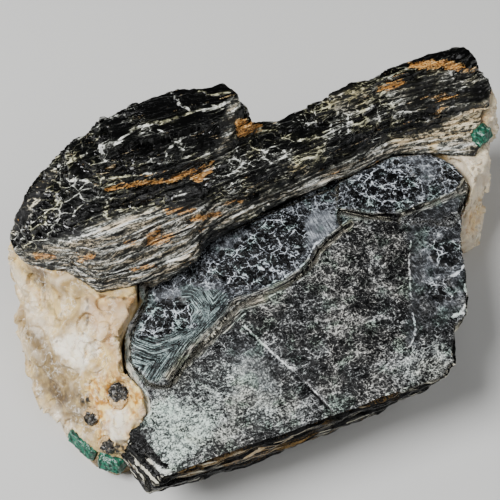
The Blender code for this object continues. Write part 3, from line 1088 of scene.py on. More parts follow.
@dataclass(frozen=True)
class QuartzFinish:
    """Cloudy vein quartz: cream, greasy on fresh breaks, stained near the mica."""

    name: str = "cloudy_vein_quartz"
    ior: float = 1.544

    def build(self) -> bpy.types.Material:
        """Makes the material.

        Returns:
            The material.
        """
        g = Graph(self.name)
        stain, white, smoke = g.layer("stain"), g.layer("white"), g.layer("smoke")
        pink, dirt, crease = g.layer("pink"), g.layer("dirt"), g.layer("edge")
        place = g.waver(g.place(), 5.0, 1.5)
        fine = g.waver(g.place(), 1.2, 0.4)
        slant = g.waver(g.place((1.0, 1.0, 4.0)), 2.0, 0.8)
        colour = g.blend(g.grade(g.clouds(place, 5, 5), 0.38, 0.62), "#a88c5c", "#e4c788")
        colour = g.blend(g.times(g.grade(g.clouds(fine, 2.4, 5), 0.50, 0.66), 0.6), colour, "#f3dfbd")
        colour = g.blend(g.times(g.grade(g.clouds(slant, 3.0, 3), 0.50, 0.66), 0.5), colour, "#9a8666")
        colour = g.blend(g.times(pink, 0.6), colour, "#cfa67a")
        colour = g.blend(g.times(g.layer("pale"), 0.7), colour, "#f4ead8")
        colour = g.blend(g.times(smoke, g.grade(g.clouds(fine, 2.0, 4), 0.2, 0.5)), colour, "#5c4a32")
        ochre = g.blend(g.grade(g.clouds(fine, 1.5, 4), 0.38, 0.62), "#bf8428", "#ffdc8c")
        colour = g.blend(g.times(stain, g.grade(g.clouds(place, 2.2, 4), 0.25, 0.46)), colour, ochre)
        colour = g.blend(g.times(white, g.grade(g.clouds(fine, 1.6, 4), 0.2, 0.5)), colour, "#fff3dc")
        flaws = g.times(g.veins(slant, 2.6, 0.02, 4.0), g.grade(g.clouds(place, 5), 0.42, 0.6))
        colour = g.blend(g.times(flaws, 0.6), colour, "#7d6144")
        veils = g.times(g.veins(fine, 1.8, 0.02, 4.0), g.grade(g.clouds(place, 4), 0.45, 0.6))
        colour = g.blend(g.times(veils, 0.7), colour, "#fffaf0")
        colour = g.blend(g.times(crease, 0.35), colour, "#fdf0d8")
        pits = g.times(g.specks(fine, 0.7, 0.12), g.grade(g.clouds(place, 4), 0.48, 0.62))
        colour = g.blend(g.times(pits, 0.6), colour, "#4f4030")
        colour = g.blend(g.times(dirt, g.grade(g.clouds(fine, 1.0, 4), 0.4, 0.58)), colour, "#211d18")
        roughness = g.total(0.28, (g.clouds(place, 2.5), 0.3))
        relief = g.raised(g.clouds(place, 2.2, 4), 0.06)
        relief = g.raised(g.shifting_planes(place, 4.5), 0.7, relief)
        relief = g.raised(g.shifting_planes(fine, 1.3), 0.07, relief)
        relief = g.raised(g.clouds(fine, 0.6, 4), 0.03, relief)
        return g.finish(
            self.ior,
            {"Base Color": colour, "Roughness": roughness, "Normal": relief},
            **{
                "Subsurface Weight": 0.25,
                "Subsurface Radius": (1.0, 0.75, 0.5),
                "Subsurface Scale": 1.6 * MM,
            },
        )


@dataclass(frozen=True)
class BerylFinish:
    """Green beryl, glassy and a little cloudy."""

    name: str = "green_beryl"
    ior: float = 1.58

    def build(self) -> bpy.types.Material:
        """Makes the material.

        Returns:
            The material.
        """
        g = Graph(self.name)
        place = g.waver(g.place(), 1.5, 0.5)
        streaks = g.clouds(g.waver(g.place((0.4, 1.6, 0.5)), 1.0, 0.5), 1.0, 4)
        colour = g.blend(g.grade(streaks, 0.36, 0.62), "#04281e", "#1f6f56")
        colour = g.blend(g.times(g.grade(g.clouds(place, 0.8, 4), 0.58, 0.7), 0.35), colour, "#b9d8c4")
        return g.finish(
            self.ior,
            {"Base Color": colour, "Roughness": 0.3, "Normal": g.raised(g.clouds(place, 0.8, 4), 0.25)},
            **{"Subsurface Weight": 0.2, "Subsurface Scale": 1.0 * MM},
        )


@dataclass(frozen=True)
class FlakeFinish:
    """Small dark mica books seen partly on edge."""

    name: str = "dark_mica_flake"
    ior: float = 1.59

    def build(self) -> bpy.types.Material:
        """Makes the material.

        Returns:
            The material.
        """
        g = Graph(self.name)
        near = g.waver(g.place(), 0.8, 0.4)
        colour = g.blend(g.grade(g.clouds(near, 0.9, 4), 0.4, 0.62), "#020202", "#171410")
        speckle = g.centred(g.clouds(near, 0.7, 3.0))
        glints = g.times(g.cracks(near, 0.8, 0.16), g.grade(g.clouds(near, 1.0), 0.4, 0.6))
        colour = g.blend(g.times(glints, 0.6), colour, "#8d867a")
        cover = g.grade(g.total(g.layer("bare"), (speckle, 2.6)), 0.55, 0.45)
        colour = g.blend(cover, colour, "#cfae7c")
        relief = g.raised(g.shifting_planes(near, 0.7), 0.3)
        return g.finish(self.ior, {"Base Color": colour, "Roughness": 0.35, "Normal": relief})


@dataclass(frozen=True)
class FloorFinish:
    """Matt pale card under the specimen."""

    name: str = "pale_card"
    colour: str = "#cfcfcd"

    def build(self) -> bpy.types.Material:
        """Makes the material."""
        g = Graph(self.name)
        return g.finish(1.45, {"Base Color": srgb(self.colour), "Roughness": 0.9})


# Meshes


def only(obj: bpy.types.Object) -> bpy.types.Object:
    """Selects one object and makes it active.

    Args:
        obj: The object.

    Returns:
        The same object.
    """
    bpy.ops.object.select_all(action="DESELECT")
    obj.select_set(True)
    bpy.context.view_layer.objects.active = obj
    return obj


def apply(obj: bpy.types.Object, name: str, kind: str, **settings: object) -> None:
    """Puts one modifier on an object and applies it.

    Args:
        obj: The object.
        name: The modifier's name.
        kind: The modifier's type.
        settings: The modifier's properties.
    """
    step = obj.modifiers.new(name, kind)
    for key, value in settings.items():
        setattr(step, key, value)
    only(obj)
    bpy.ops.object.modifier_apply(modifier=step.name)


def get_points(obj: bpy.types.Object) -> Points:
    """An object's vertices in mm.

    Args:
        obj: The object.

    Returns:
        One row for each vertex.
    """
    values = np.empty(len(obj.data.vertices) * 3, np.float32)
    obj.data.vertices.foreach_get("co", values)
    return values.reshape(-1, 3).astype(float) / MM


def get_normals(obj: bpy.types.Object) -> np.ndarray:
    """An object's vertex normals.

    Args:
        obj: The object.

    Returns:
        One row for each vertex.
    """
    values = np.empty(len(obj.data.vertices) * 3, np.float32)
    obj.data.vertices.foreach_get("normal", values)
    return values.reshape(-1, 3).astype(float)


def set_points(obj: bpy.types.Object, points: Points) -> None:
    """Moves an object's vertices to places in mm."""
    obj.data.vertices.foreach_set("co", (points * MM).astype(np.float32).ravel())
    obj.data.update()


def set_layer(obj: bpy.types.Object, name: str, values: np.ndarray) -> None:
    """Stores one value for each vertex, for the finish to read."""
    layer = obj.data.attributes.new(name, "FLOAT", "POINT")
    layer.data.foreach_set("value", values.astype(np.float32))


class Detail(Enum):
    """How finely a mineral is meshed: base size in mm, and whether its front is split."""

    SHEETS = (0.52, True)
    BROAD = (0.56, True)
    LUMP = (0.42, True)
    SMALL = (0.14, False)


@dataclass
class Mineral:
    """One mineral of the specimen, shaped from its CAD solid.

    Attributes:
        node: The CAD node that it stands for.
        slot: The record's material slot; not used.
        material: Its finish.
        detail: How finely it is meshed.
        soften: How many times the CAD's corners are smoothed before the sculpting.
        crease: Angle in degrees above which an edge stays sharp.
        obj: The piece itself.
        free: For each vertex 0 where it touches another mineral, 1 well away from any.
    """

    node: str
    slot: str
    material: bpy.types.Material
    detail: Detail = Detail.SHEETS
    soften: int = 4
    crease: float = 38.0
    obj: bpy.types.Object = field(init=False)
    free: np.ndarray = field(init=False)

    def build(self, frame: dict) -> None:
        """Makes, shapes, paints and registers the piece.
        """
        self.copy(frame)
        self.sculpt()
        self.keep_in_box()
        self.paint()
        self.dress()
        log.info("%s: %d faces", self.obj.name, len(self.obj.data.polygons))

    def copy(self, frame: dict) -> None:
        """Copies the CAD solid and gives the copy an even, fine mesh.
        """
        size, split = self.detail.value
        mesh = frame["nodes"][self.node].data.copy()
        self.obj = bpy.data.objects.new(f"{self.node}_stone", mesh)
        bpy.context.scene.collection.objects.link(self.obj)
        only(self.obj)
        bpy.ops.object.mode_set(mode="EDIT")
        bpy.ops.mesh.select_all(action="SELECT")
        bpy.ops.mesh.remove_doubles(threshold=1e-6)
        bpy.ops.object.mode_set(mode="OBJECT")
        apply(self.obj, "even_mesh", "REMESH", mode="VOXEL", voxel_size=size * MM)
        apply(self.obj, "soften", "SMOOTH", factor=0.5, iterations=self.soften)
        if split:
            self.split_front()
        self.close_gaps(frame)

    def close_gaps(self, frame: dict) -> None:
        """Lets the minerals meet where the CAD solids leave a gap between them.
        """
        points, normals = get_points(self.obj), get_normals(self.obj)
        gap = np.full(len(points), 9.0)
        for name, other in frame["nodes"].items():
            if name == self.node:
                continue
            low, high = (np.array(corner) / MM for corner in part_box(name))
            inside = (points > low - CONTACT_REACH) & (points < high + CONTACT_REACH)
            close = np.all(inside, axis=1).nonzero()[0]
            corners = [v.co for v in other.data.vertices]
            tree = BVHTree.FromPolygons(corners, [p.vertices[:] for p in other.data.polygons])
            for i in close:
                found = tree.find_nearest(Vector(points[i]) * MM, CONTACT_REACH * MM)[3]
                if found is not None:
                    gap[i] = min(gap[i], found / MM)
        self.free = smooth(0.4, 1.8, gap)
        set_points(self.obj, points + normals * (0.3 * smooth(1.1, 0.5, gap))[:, None])

    def split_front(self) -> None:
        """Halves the faces that the camera sees."""
        points, normals = get_points(self.obj), get_normals(self.obj)
        seen = LENS.facing(points, normals) > 0.4
        seen &= self.near_front(points)
        faces = self.obj.data.polygons
        corners = np.empty(len(faces) * 4, np.int32)
        faces.foreach_get("vertices", corners)
        chosen = seen[corners.reshape(-1, 4)].all(axis=1)
        only(self.obj)
        bpy.ops.object.mode_set(mode="EDIT")
        bpy.ops.mesh.select_mode(type="FACE")
        bpy.ops.mesh.select_all(action="DESELECT")
        bpy.ops.object.mode_set(mode="OBJECT")
        faces.foreach_set("select", chosen)
        bpy.ops.object.mode_set(mode="EDIT")
        bpy.ops.mesh.subdivide(number_cuts=1)
        bpy.ops.object.mode_set(mode="OBJECT")

    def near_front(self, points: Points) -> np.ndarray:
        """Which points can be seen at all from the camera's side."""
        return points[:, 2] > 0.5

    def sculpt(self) -> None:
        """Gives the smooth copy its broken surface."""

    def paint(self) -> None:
        """Stores the values that the finish reads."""

    def marks(self, marks: Iterable[Mark], ragged: float = 1.5, seed: int = 3) -> np.ndarray:
        """The strongest of several marks at each vertex.

        Args:
            marks: Lines and areas in the picture.
            ragged: How uneven their borders are, in pixels.
            seed: Which of the patterns makes them uneven.

        Returns:
            One value for each vertex, from 0 to 1.
        """
        points = get_points(self.obj)
        pixels = LENS.pixels(points)
        shift = np.stack([rough(points, (2.4, 1.2, 1.2), 2, seed + i) for i in (0, 1)], axis=1)
        pixels = pixels + ragged * shift
        value = np.zeros(len(points))
        for mark in marks:
            value = np.maximum(value, mark.shade(pixels))
        return value * LENS.facing(points, get_normals(self.obj))

    def strokes(self, marks: Iterable[Mark], ragged: float = 1.0, seed: int = 3) -> np.ndarray:
        """How near each vertex is to the nearest of several lines, as Mark.stroke gives it.

        Args:
            marks: Lines in the picture.
            ragged: How uneven they run, in pixels.
            seed: Which of the patterns makes them uneven.

        Returns:
            One value for each vertex.
        """
        points = get_points(self.obj)
        pixels = LENS.pixels(points)
        pixels += ragged * np.stack(
            [rough(points, (2.4, 1.2, 1.2), 2, seed + i) for i in (0, 1)], axis=1
        )
        value = np.zeros(len(points))
        for mark in marks:
            value = np.maximum(value, mark.stroke(pixels))
        return value * smooth(0.0, 0.3, LENS.facing(points, get_normals(self.obj)))

    def keep_in_box(self) -> None:
        """Keeps every vertex inside the CAD solid's box."""
        low, high = (np.array(corner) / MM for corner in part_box(self.node))
        points = np.clip(get_points(self.obj), low + CLEARANCE, high - CLEARANCE)
        points[:, 2] = np.where(points[:, 2] < low[2] + BASE_BAND, low[2], points[:, 2])
        set_points(self.obj, points)

    def dress(self) -> None:
        """Shades the piece, gives it its finish and registers it."""
        only(self.obj)
        bpy.ops.object.shade_smooth_by_angle(angle=math.radians(self.crease))
        self.obj.data.materials.clear()
        self.obj.data.materials.append(self.material)
        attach(self.obj, "root")
        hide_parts(self.node)


def sheet_borders(low: float, high: float, seed: int, mean: float) -> np.ndarray:
    """Heights of the borders between sheets of uneven thickness, in mm.

    Args:
        low: Height of the lowest border in mm.
        high: Height that the last one reaches in mm.
        seed: Which of the patterns to use.
        mean: Usual thickness in mm.

    Returns:
        The heights, from the lowest up.
    """
    rng = np.random.default_rng(seed)
    steps = np.clip(rng.lognormal(math.log(mean), 0.45, 400), 0.3, 2.4)
    return low + np.concatenate([[0], np.cumsum(steps)]).clip(0, high - low + 3)


@dataclass
class SchistMass(Mineral):
    """The foliated mass behind the book.

    Attributes:
        sheet: Usual thickness of its sheets in mm.
        edge: How near each vertex is to a lit brink, which the finish paints as a highlight.
        under: How near it is to the shade below a brink, which the finish paints darker.
        leaf: Its height in the sheets, in mm.
    """

    sheet: float = 0.95
    edge: np.ndarray = field(init=False)
    under: np.ndarray = field(init=False)
    leaf: np.ndarray = field(init=False)

    def near_front(self, points: Points) -> np.ndarray:
        """The mass shows only above the book's face."""
        return points[:, 2] > 19.5

    def sculpt(self) -> None:
        """Cuts the slope into ledges, one for each sheet, and breaks their edges."""
        points, normals = get_points(self.obj), get_normals(self.obj)

        # Sheets, gently folded
        fold = 1.0 * noise(points, (40, 18, 30), 1) + 0.2 * noise(points, (16, 6, 9), 2)
        level = points[:, 2] + fold
        borders = sheet_borders(-4, 46, 12, self.sheet)
        index = np.clip(np.searchsorted(borders, level) - 1, 0, len(borders) - 2)
        low, high = borders[index], borders[index + 1]
        share = (level - low) / np.maximum(high - low, 0.05)

        # Each sheet ends at a ragged brink
        layer = np.stack([points[:, 0], points[:, 1], index * 7.31], axis=1)
        brink = 0.52 + 0.45 * rough(layer, (11.0, 2.6, 1.0), 4, 5)
        step = smooth(-0.08, 0.08, share - brink)
        upward = smooth(0.10, 0.40, normals[:, 2]) * smooth(18.5, 21.5, points[:, 2])
        lifted = (low + step * (high - low) - level) * upward

        # Torn ends of the sheets on the steep sides
        sideways = normals.copy()
        sideways[:, 2] = 0
        length = np.linalg.norm(sideways, axis=1)
        sideways /= np.maximum(length, 1e-6)[:, None]
        steep = smooth(0.45, 0.8, length) * smooth(0.3, 1.5, points[:, 2])
        jut = 0.7 * rough(layer, (5.0, 5.0, 1.0), 4, 9) - 0.1
        points = points + sideways * (jut * steep * self.free)[:, None]
        points[:, 2] += lifted
        points += normals * (0.06 * rough(points, (2.4, 0.9, 0.7), 3, 21))[:, None]

        # What the finish reads: a painted highlight on the lit brinks, painted shade below them, and
        # the place in the sheets
        strength = np.maximum(upward, 0.5)
        self.edge = np.exp(-(((share - brink - 0.10) / 0.11) ** 2)) * strength
        self.under = np.exp(-(((share - brink + 0.12) / 0.12) ** 2)) * strength
        self.leaf = level + 0.5 * points[:, 1]
        set_points(self.obj, points)

    def paint(self) -> None:
        """Lays on the foliated band, silver lines, stain and pale grains."""
        points, normals = get_points(self.obj), get_normals(self.obj)
        seen = LENS.facing(points, normals)
        tone = self.marks(LIGHT_AREAS, 4.0, 51) - self.marks(DARK_AREAS, 4.0, 53)
        far = smooth(0.15, 0.5, rough(points, (14, 5, 2.5), 3, 60)) * (1 - seen) * 0.7
        layers = {
            "edge": self.edge,
            "under": self.under,
            "leaf": self.leaf,
            "band": np.maximum(self.marks(BAND_AREAS, 4.0, 41), (1 - seen) * 0.55),
            "tone": 0.5 + 0.5 * tone,
            "silver": self.strokes(SILVER_LINES, 2.0, 43),
            "pale": self.marks(PALE_AREAS, 3.0, 45),
            "grain": self.marks(GRAINY_AREAS, 3.0, 47),
            "fine": self.marks(FINE_AREAS, 4.0, 48),
            "rust": np.maximum(self.marks(RUST_MARKS, 2.0, 49), far),
        }
        for name, values in layers.items():
            set_layer(self.obj, name, values)


@dataclass
class MicaBook(Mineral):
    """The book of mica with the broad cleavage face.

    Attributes:
        leaves: The finish of its broken sides, where the leaves' edges trap the light.
        wall: For each vertex 1 on the broken sides, 0 on the faces.
        leaf: Its height in the leaves, in mm.
    """

    leaves: bpy.types.Material | None = None
    wall: np.ndarray = field(init=False)
    leaf: np.ndarray = field(init=False)

    def near_front(self, points: Points) -> np.ndarray:
        """Its upper part shows, in front of the schist."""
        return (points[:, 2] > 8.0) & (points[:, 1] < 14.5)

    def sculpt(self) -> None:
        """Steps and tilts the face a little, and splits the edge into leaves."""
        points, normals = get_points(self.obj), get_normals(self.obj)
        pixels = LENS.pixels(points)

        # The face: shallow steps, cracks, ledges and folds
        top = smooth(0.6, 0.9, normals[:, 2]) * smooth(16.0, 17.5, points[:, 2])
        plane = np.stack([points[:, 0], points[:, 1], points[:, 2] * 0], axis=1)
        warped = plane + 0.9 * np.stack(
            [noise(plane, 3, 71), noise(plane, 3, 72), plane[:, 2]], axis=1
        )
        _, tilt, away = cells(warped, (4.6, 3.4, 4), 73)
        lift = 0.16 * (tilt[:, 0] - 0.5) + 0.10 * np.sum(away[:, :2] * (tilt[:, 1:] - 0.5), axis=1)
        wide = 0.10 * noise(plane, 16, 75) + 0.03 * rough(plane, 2.2, 3, 76)
        ridge = sum(m.shade(pixels) for m in FACE_LEDGES)
        groove = sum(m.shade(pixels) for m in FACE_CRACKS)
        folds = crinkles(points, pixels)
        height = lift + wide - 0.22 * groove + 0.07 * ridge + folds
        points[:, 2] += top * (height - 0.12)

        # The sides: torn leaves, deepest below the face
        sideways = normals.copy()
        sideways[:, 2] = 0
        length = np.linalg.norm(sideways, axis=1)
        sideways /= np.maximum(length, 1e-6)[:, None]
        wall = smooth(0.4, 0.75, length) * smooth(0.4, 1.2, points[:, 2])
        waved = points[:, 2] + 0.35 * noise(points, (22, 22, 9), 77)
        borders = sheet_borders(-2, 24, 14, 0.62)
        index = np.clip(np.searchsorted(borders, waved) - 1, 0, len(borders) - 2)
        layer = np.stack([points[:, 0], points[:, 1], index * 5.17], axis=1)
        cut = -0.25 + 0.8 * rough(layer, (7.0, 7.0, 1.0), 4, 79)
        under = smooth(18.15, 17.9, points[:, 2]) * smooth(16.7, 17.0, points[:, 2])
        gap = smooth(-0.5, 0.1, noise(points, (16, 16, 40), 80) + 0.25)
        cut = cut - 1.3 * under * gap
        points += sideways * (wall * self.free * np.clip(cut, -2.0, 0.35))[:, None]
        self.wall = wall
        self.leaf = waved
        set_points(self.obj, points)

    def paint(self) -> None:
        """Lays on plates, islands, painted glints and sheen, cracks, painted rim highlights and shadow
        lines, and stain.
        """
        points, normals = get_points(self.obj), get_normals(self.obj)
        top = smooth(0.5, 0.85, normals[:, 2])
        seen = LENS.facing(points, normals)
        pixels = LENS.pixels(points)
        around = np.min([np.abs(mark.distance(pixels)) for mark in FOLD_GUIDES], axis=0) * PIXEL
        strip = self.marks(LEDGE_STRIPS, 2.0, 88) * top
        far = smooth(0.1, 0.5, rough(points, (16, 16, 1.2), 3, 96)) * (1 - seen) * 0.6
        layers = {
            "leaf": self.leaf * self.wall + around * (1 - self.wall),
            "edge": np.maximum(self.wall, (1 - seen) * 0.6),
            "strip": strip,
            "plate": self.marks(PLATE_AREAS, 3.0, 81) * top,
            "island": self.marks(ISLAND_AREAS, 4.0, 83) * top,
            "painted_glint": self.marks(PAINTED_GLINT_AREAS, 8.0, 85) * top,
            "painted_sheen": self.marks(PAINTED_SHEEN_AREAS, 5.0, 87) * top,
            "crinkle": np.maximum(self.marks(CRINKLE_AREAS, 4.0, 89) * top, strip),
            "crack": self.strokes(CRACK_LINES, 0.8, 91) * top,
            "rim_silver_and_highlight": self.strokes(RIM_SILVER_AND_HIGHLIGHT_LINES, 1.2, 93),
            "dark": self.strokes(PAINTED_SHADOW_LINES, 0.8, 94),
            "rust": np.maximum(self.marks(EDGE_STAINS, 3.0, 95), far) * self.wall,
        }
        for name, values in layers.items():
            set_layer(self.obj, name, values)

    def dress(self) -> None:
        """Gives the broken sides their own finish."""
        super().dress()
        self.obj.data.materials.append(self.leaves)
        faces = self.obj.data.polygons
        corners = np.empty(len(self.obj.data.loops), np.int32)
        self.obj.data.loops.foreach_get("vertex_index", corners)
        counts = np.empty(len(faces), np.int32)
        faces.foreach_get("loop_total", counts)
        starts = np.concatenate([[0], np.cumsum(counts)[:-1]])
        share = np.add.reduceat(self.wall[corners], starts) / counts
        faces.foreach_set("material_index", (share > 0.5).astype(np.int32))


def crinkles(points: Points, pixels: np.ndarray) -> np.ndarray:
    """Heights of the crumpled leaves at the upper plate's left end, in mm.

    Args:
        points: Places in mm.
        pixels: Where they show.

    Returns:
        Heights in mm.
    """
    inside = np.max([m.shade(pixels) for m in CRINKLE_AREAS], axis=0)
    wave = noise(points + 2 * noise(points, 5, 61)[:, None], (5.0, 1.5, 3), 62)
    return inside * 0.22 * (1 - np.abs(wave) * 2)


def broken_faces(pixels: np.ndarray, faces: Sequence[Sequence[float]]) -> np.ndarray:
    """Heights of faces that show at given places in the picture and meet in creases.

    Args:
        pixels: Where the points show.
        faces: For each face its pixel, how far it stands out in mm, and how much more
            10 pixels to the right and 10 pixels down.

    Returns:
        Heights in mm.
    """
    x, y, out, right, down = np.array(faces).T
    across = pixels[:, :1] - x
    below = pixels[:, 1:] - y
    square = across**2 + below**2
    weights = np.exp(-(square - square.min(axis=1)[:, None]) / 60)
    heights = out + (across * right + below * down) / 10
    return np.sum(weights * np.clip(heights, -2, 2), axis=1) / weights.sum(axis=1)


@dataclass
class QuartzLump(Mineral):
    """Vein quartz with broken faces.

    Attributes:
        size: Size in mm of the faces that the camera doesn't see.
        faces: The faces that it sees, as broken_faces takes them.
        edge: How near each vertex is to a raised crease.
    """

    size: float = 9.0
    faces: tuple[tuple[float, ...], ...] = ()
    edge: np.ndarray = field(init=False)

    def sculpt(self) -> None:
        """Breaks the surface into facets of three sizes."""
        points, normals = get_points(self.obj), get_normals(self.obj)
        free = smooth(0.2, 2.0, points[:, 2]) * self.free
        seen = LENS.facing(points, normals)
        pixels = LENS.pixels(points) + 3 * np.stack([noise(points, 5, 8), noise(points, 5, 9)], 1)
        height = facets(points, self.size, 0.42, 7.0, 201) * (1 - seen)
        height += broken_faces(pixels, self.faces) * seen
        height += facets(points, self.size * 0.5, 0.36, 10.0, 203)
        height += facets(points, self.size * 0.16, 0.10, 9.0, 204)
        height += 0.03 * rough(points, 1.6, 3, 205)
        moved = points + normals * (height * free * 0.8 + 0.1 * free)[:, None]
        before = height - np.mean(height)
        set_points(self.obj, moved)
        border, _, _ = cells(points, self.size, 201)
        self.edge = smooth(0.10, 0.0, border) * smooth(-0.2, 0.6, before)

    def paint(self) -> None:
        """Lays on stain, bright and smoky zones and mica dirt."""
        set_layer(self.obj, "edge", self.edge)
        for name, marks, ragged in QUARTZ_LAYERS:
            set_layer(self.obj, name, self.marks(marks, ragged, 97))


@dataclass
class SmallCrystal(Mineral):
    """A beryl crystal or a mica flake.

    Attributes:
        size: Size in mm of its small facets.
        ragged: How uneven its outline is, in mm.
    """

    size: float = 0.9
    ragged: float = 0.0

    def sculpt(self) -> None:
        """Roughens the faces slightly."""
        points, normals = get_points(self.obj), get_normals(self.obj)
        height = facets(points, self.size, 0.3, 4.0, 301) * 0.6 + self.ragged * rough(points, 0.9, 3, 5)
        set_points(self.obj, points + normals * (height - 0.06)[:, None])

    def paint(self) -> None:
        """Lays on where a flake isn't overgrown by the quartz around it."""
        set_layer(self.obj, "bare", self.marks(FLAKE_AREAS, 2.0, 99))


# Marks on the schist, in pixels of the picture

BAND_AREAS = (
    area((2, 250), (30, 252), (60, 236), (106, 218), (142, 212), (196, 203), (240, 200),
         (262, 205), (240, 222), (200, 236), (197, 262), (185, 275), (140, 296), (98, 296),
         (62, 272), (28, 266), (6, 262), soft=6),
    area((250, 214), (262, 190), (290, 182), (330, 168), (360, 150), (390, 138), (430, 132),
         (452, 118), (490, 96), (494, 140), (468, 160), (426, 155), (390, 156), (356, 174),
         (300, 196), (272, 206), soft=5, strength=0.9),
    area((400, 84), (440, 72), (492, 80), (494, 96), (450, 112), (410, 112), (380, 100),
         soft=6, strength=0.45),
    area((230, 96), (240, 100), (234, 130), (224, 165), (214, 160), (222, 130), soft=4),
)
SILVER_LINES = (
    line(2.4, (99, 148), (116, 143), (128, 133), (141, 126), (154, 123), (172, 120),
         (191, 112), (209, 109), (229, 103), strength=0.95),
    line(1.6, (93, 122), (106, 118), (126, 115)),
    line(1.6, (172, 93), (179, 103), (191, 111)),
    line(1.6, (199, 91), (214, 95), (232, 92)),
    line(1.4, (159, 128), (168, 135), (176, 141), (184, 151)),
    line(3.0, (173, 139), (180, 143)),
    line(1.2, (176, 141), (189, 136), (200, 131)),
    line(1.2, (176, 141), (168, 148), (167, 156)),
    line(1.5, (100, 150), (106, 161), (126, 166), (149, 163), (172, 161), (191, 156), (216, 148)),
    line(1.2, (63, 181), (100, 179), (126, 176), (156, 173), (182, 168)),
    line(1.2, (52, 170), (70, 160), (88, 154), (99, 149), strength=0.7),
    line(1.2, (76, 131), (92, 136), (104, 146), strength=0.8),
    line(1.0, (120, 190), (150, 196), (184, 190), (205, 186), strength=0.6),
    line(1.0, (104, 216), (132, 208), (160, 202), (190, 192), strength=0.8),
    line(1.6, (58, 246), (80, 238), (104, 228), (130, 220), (152, 210), strength=0.8),
    line(1.6, (106, 201), (106, 214)),
    line(3.0, (166, 262), (182, 259), (198, 256), strength=0.9),
    line(2.0, (136, 260), (160, 254), (176, 262), strength=0.6),
    line(2.0, (240, 222), (256, 216), (268, 204), strength=0.8),
    line(2.0, (200, 232), (222, 226), (240, 214), (262, 200), strength=0.7),
    line(2.0, (262, 150), (290, 160), (322, 158), (346, 152), strength=0.6),
    line(2.2, (300, 140), (330, 136), (352, 126), (380, 118), strength=0.5),
)
PALE_AREAS = (
    area((281, 164), (300, 166), (314, 170), (304, 177), (288, 173), soft=3),
    area((384, 140), (410, 130), (440, 126), (470, 108), (492, 100), (492, 128), (462, 140),
         (430, 140), (400, 146), soft=5, strength=0.85),
    area((428, 142), (440, 143), (438, 154), (428, 153), soft=2),
    area((0, 210), (24, 200), (50, 168), (58, 172), (40, 200), (14, 236), soft=3, strength=0.7),
    area((318, 96), (350, 86), (372, 90), (366, 110), (336, 112), soft=5, strength=0.55),
)
GRAINY_AREAS = (
    area((2, 236), (20, 208), (50, 170), (80, 176), (100, 190), (84, 214), (60, 236), (30, 262),
         (4, 262), soft=8),
    area((72, 128), (96, 118), (112, 126), (104, 150), (80, 160), (52, 168), soft=6, strength=0.6),
    area((222, 136), (262, 124), (300, 134), (290, 160), (250, 170), (224, 166), soft=6,
         strength=0.7),
    area((300, 100), (380, 80), (400, 100), (380, 130), (330, 136), (296, 124), soft=8,
         strength=0.7),
)
FINE_AREAS = (
    area((200, 150), (262, 140), (300, 132), (330, 140), (330, 160), (262, 190), (214, 204),
         (196, 190), soft=8),
    area((290, 118), (318, 98), (400, 72), (484, 60), (492, 90), (440, 112), (380, 132),
         (310, 142), soft=8, strength=0.9),
    area((90, 196), (200, 186), (200, 204), (110, 216), soft=6, strength=0.6),
)
RUST_MARKS = (
    line(5.0, (106, 190), (126, 185), (149, 183), (176, 179), (196, 171), (214, 162)),
    area((190, 178), (212, 167), (214, 172), (198, 184), soft=2),
    line(2.6, (140, 176), (158, 173), (176, 170), strength=0.7),
    area((235, 120), (244, 118), (262, 124), (264, 133), (250, 134), (238, 140), soft=3),
    area((164, 209), (180, 206), (196, 207), (196, 212), (178, 216), (165, 215), soft=2.5,
         strength=0.9),
    area((188, 217), (206, 213), (222, 209), (223, 215), (204, 220), (190, 222), soft=2.5),
    area((146, 241), (158, 234), (172, 232), (176, 239), (160, 246), (147, 247), soft=3),
    area((144, 236), (160, 225), (166, 229), (152, 240), soft=3),
    area((123, 240), (136, 239), (136, 244), (124, 245), soft=2.5, strength=0.9),
    area((76, 258), (90, 253), (100, 254), (98, 260), (80, 263), soft=3),
    area((33, 252), (55, 255), (60, 260), (36, 260), soft=3),
    line(3.0, (128, 269), (142, 268), (157, 265), strength=0.9),
    line(4.0, (222, 204), (232, 202), (242, 200), strength=0.8),
    line(3.0, (200, 231), (208, 228), strength=0.7),
    line(3.0, (104, 251), (116, 246), strength=0.5),
    area((404, 63), (420, 60), (448, 60), (466, 65), (482, 71), (470, 73), (444, 70), (420, 70),
         soft=2.5),
    area((374, 89), (386, 82), (402, 79), (406, 83), (394, 89), (378, 92), soft=3),
    area((420, 98), (440, 93), (460, 94), (458, 100), (436, 103), soft=4, strength=0.5),
    area((424, 104), (444, 104), (446, 112), (428, 112), soft=4, strength=0.4),
    area((344, 178), (356, 174), (358, 182), (348, 184), soft=3, strength=0.5),
)

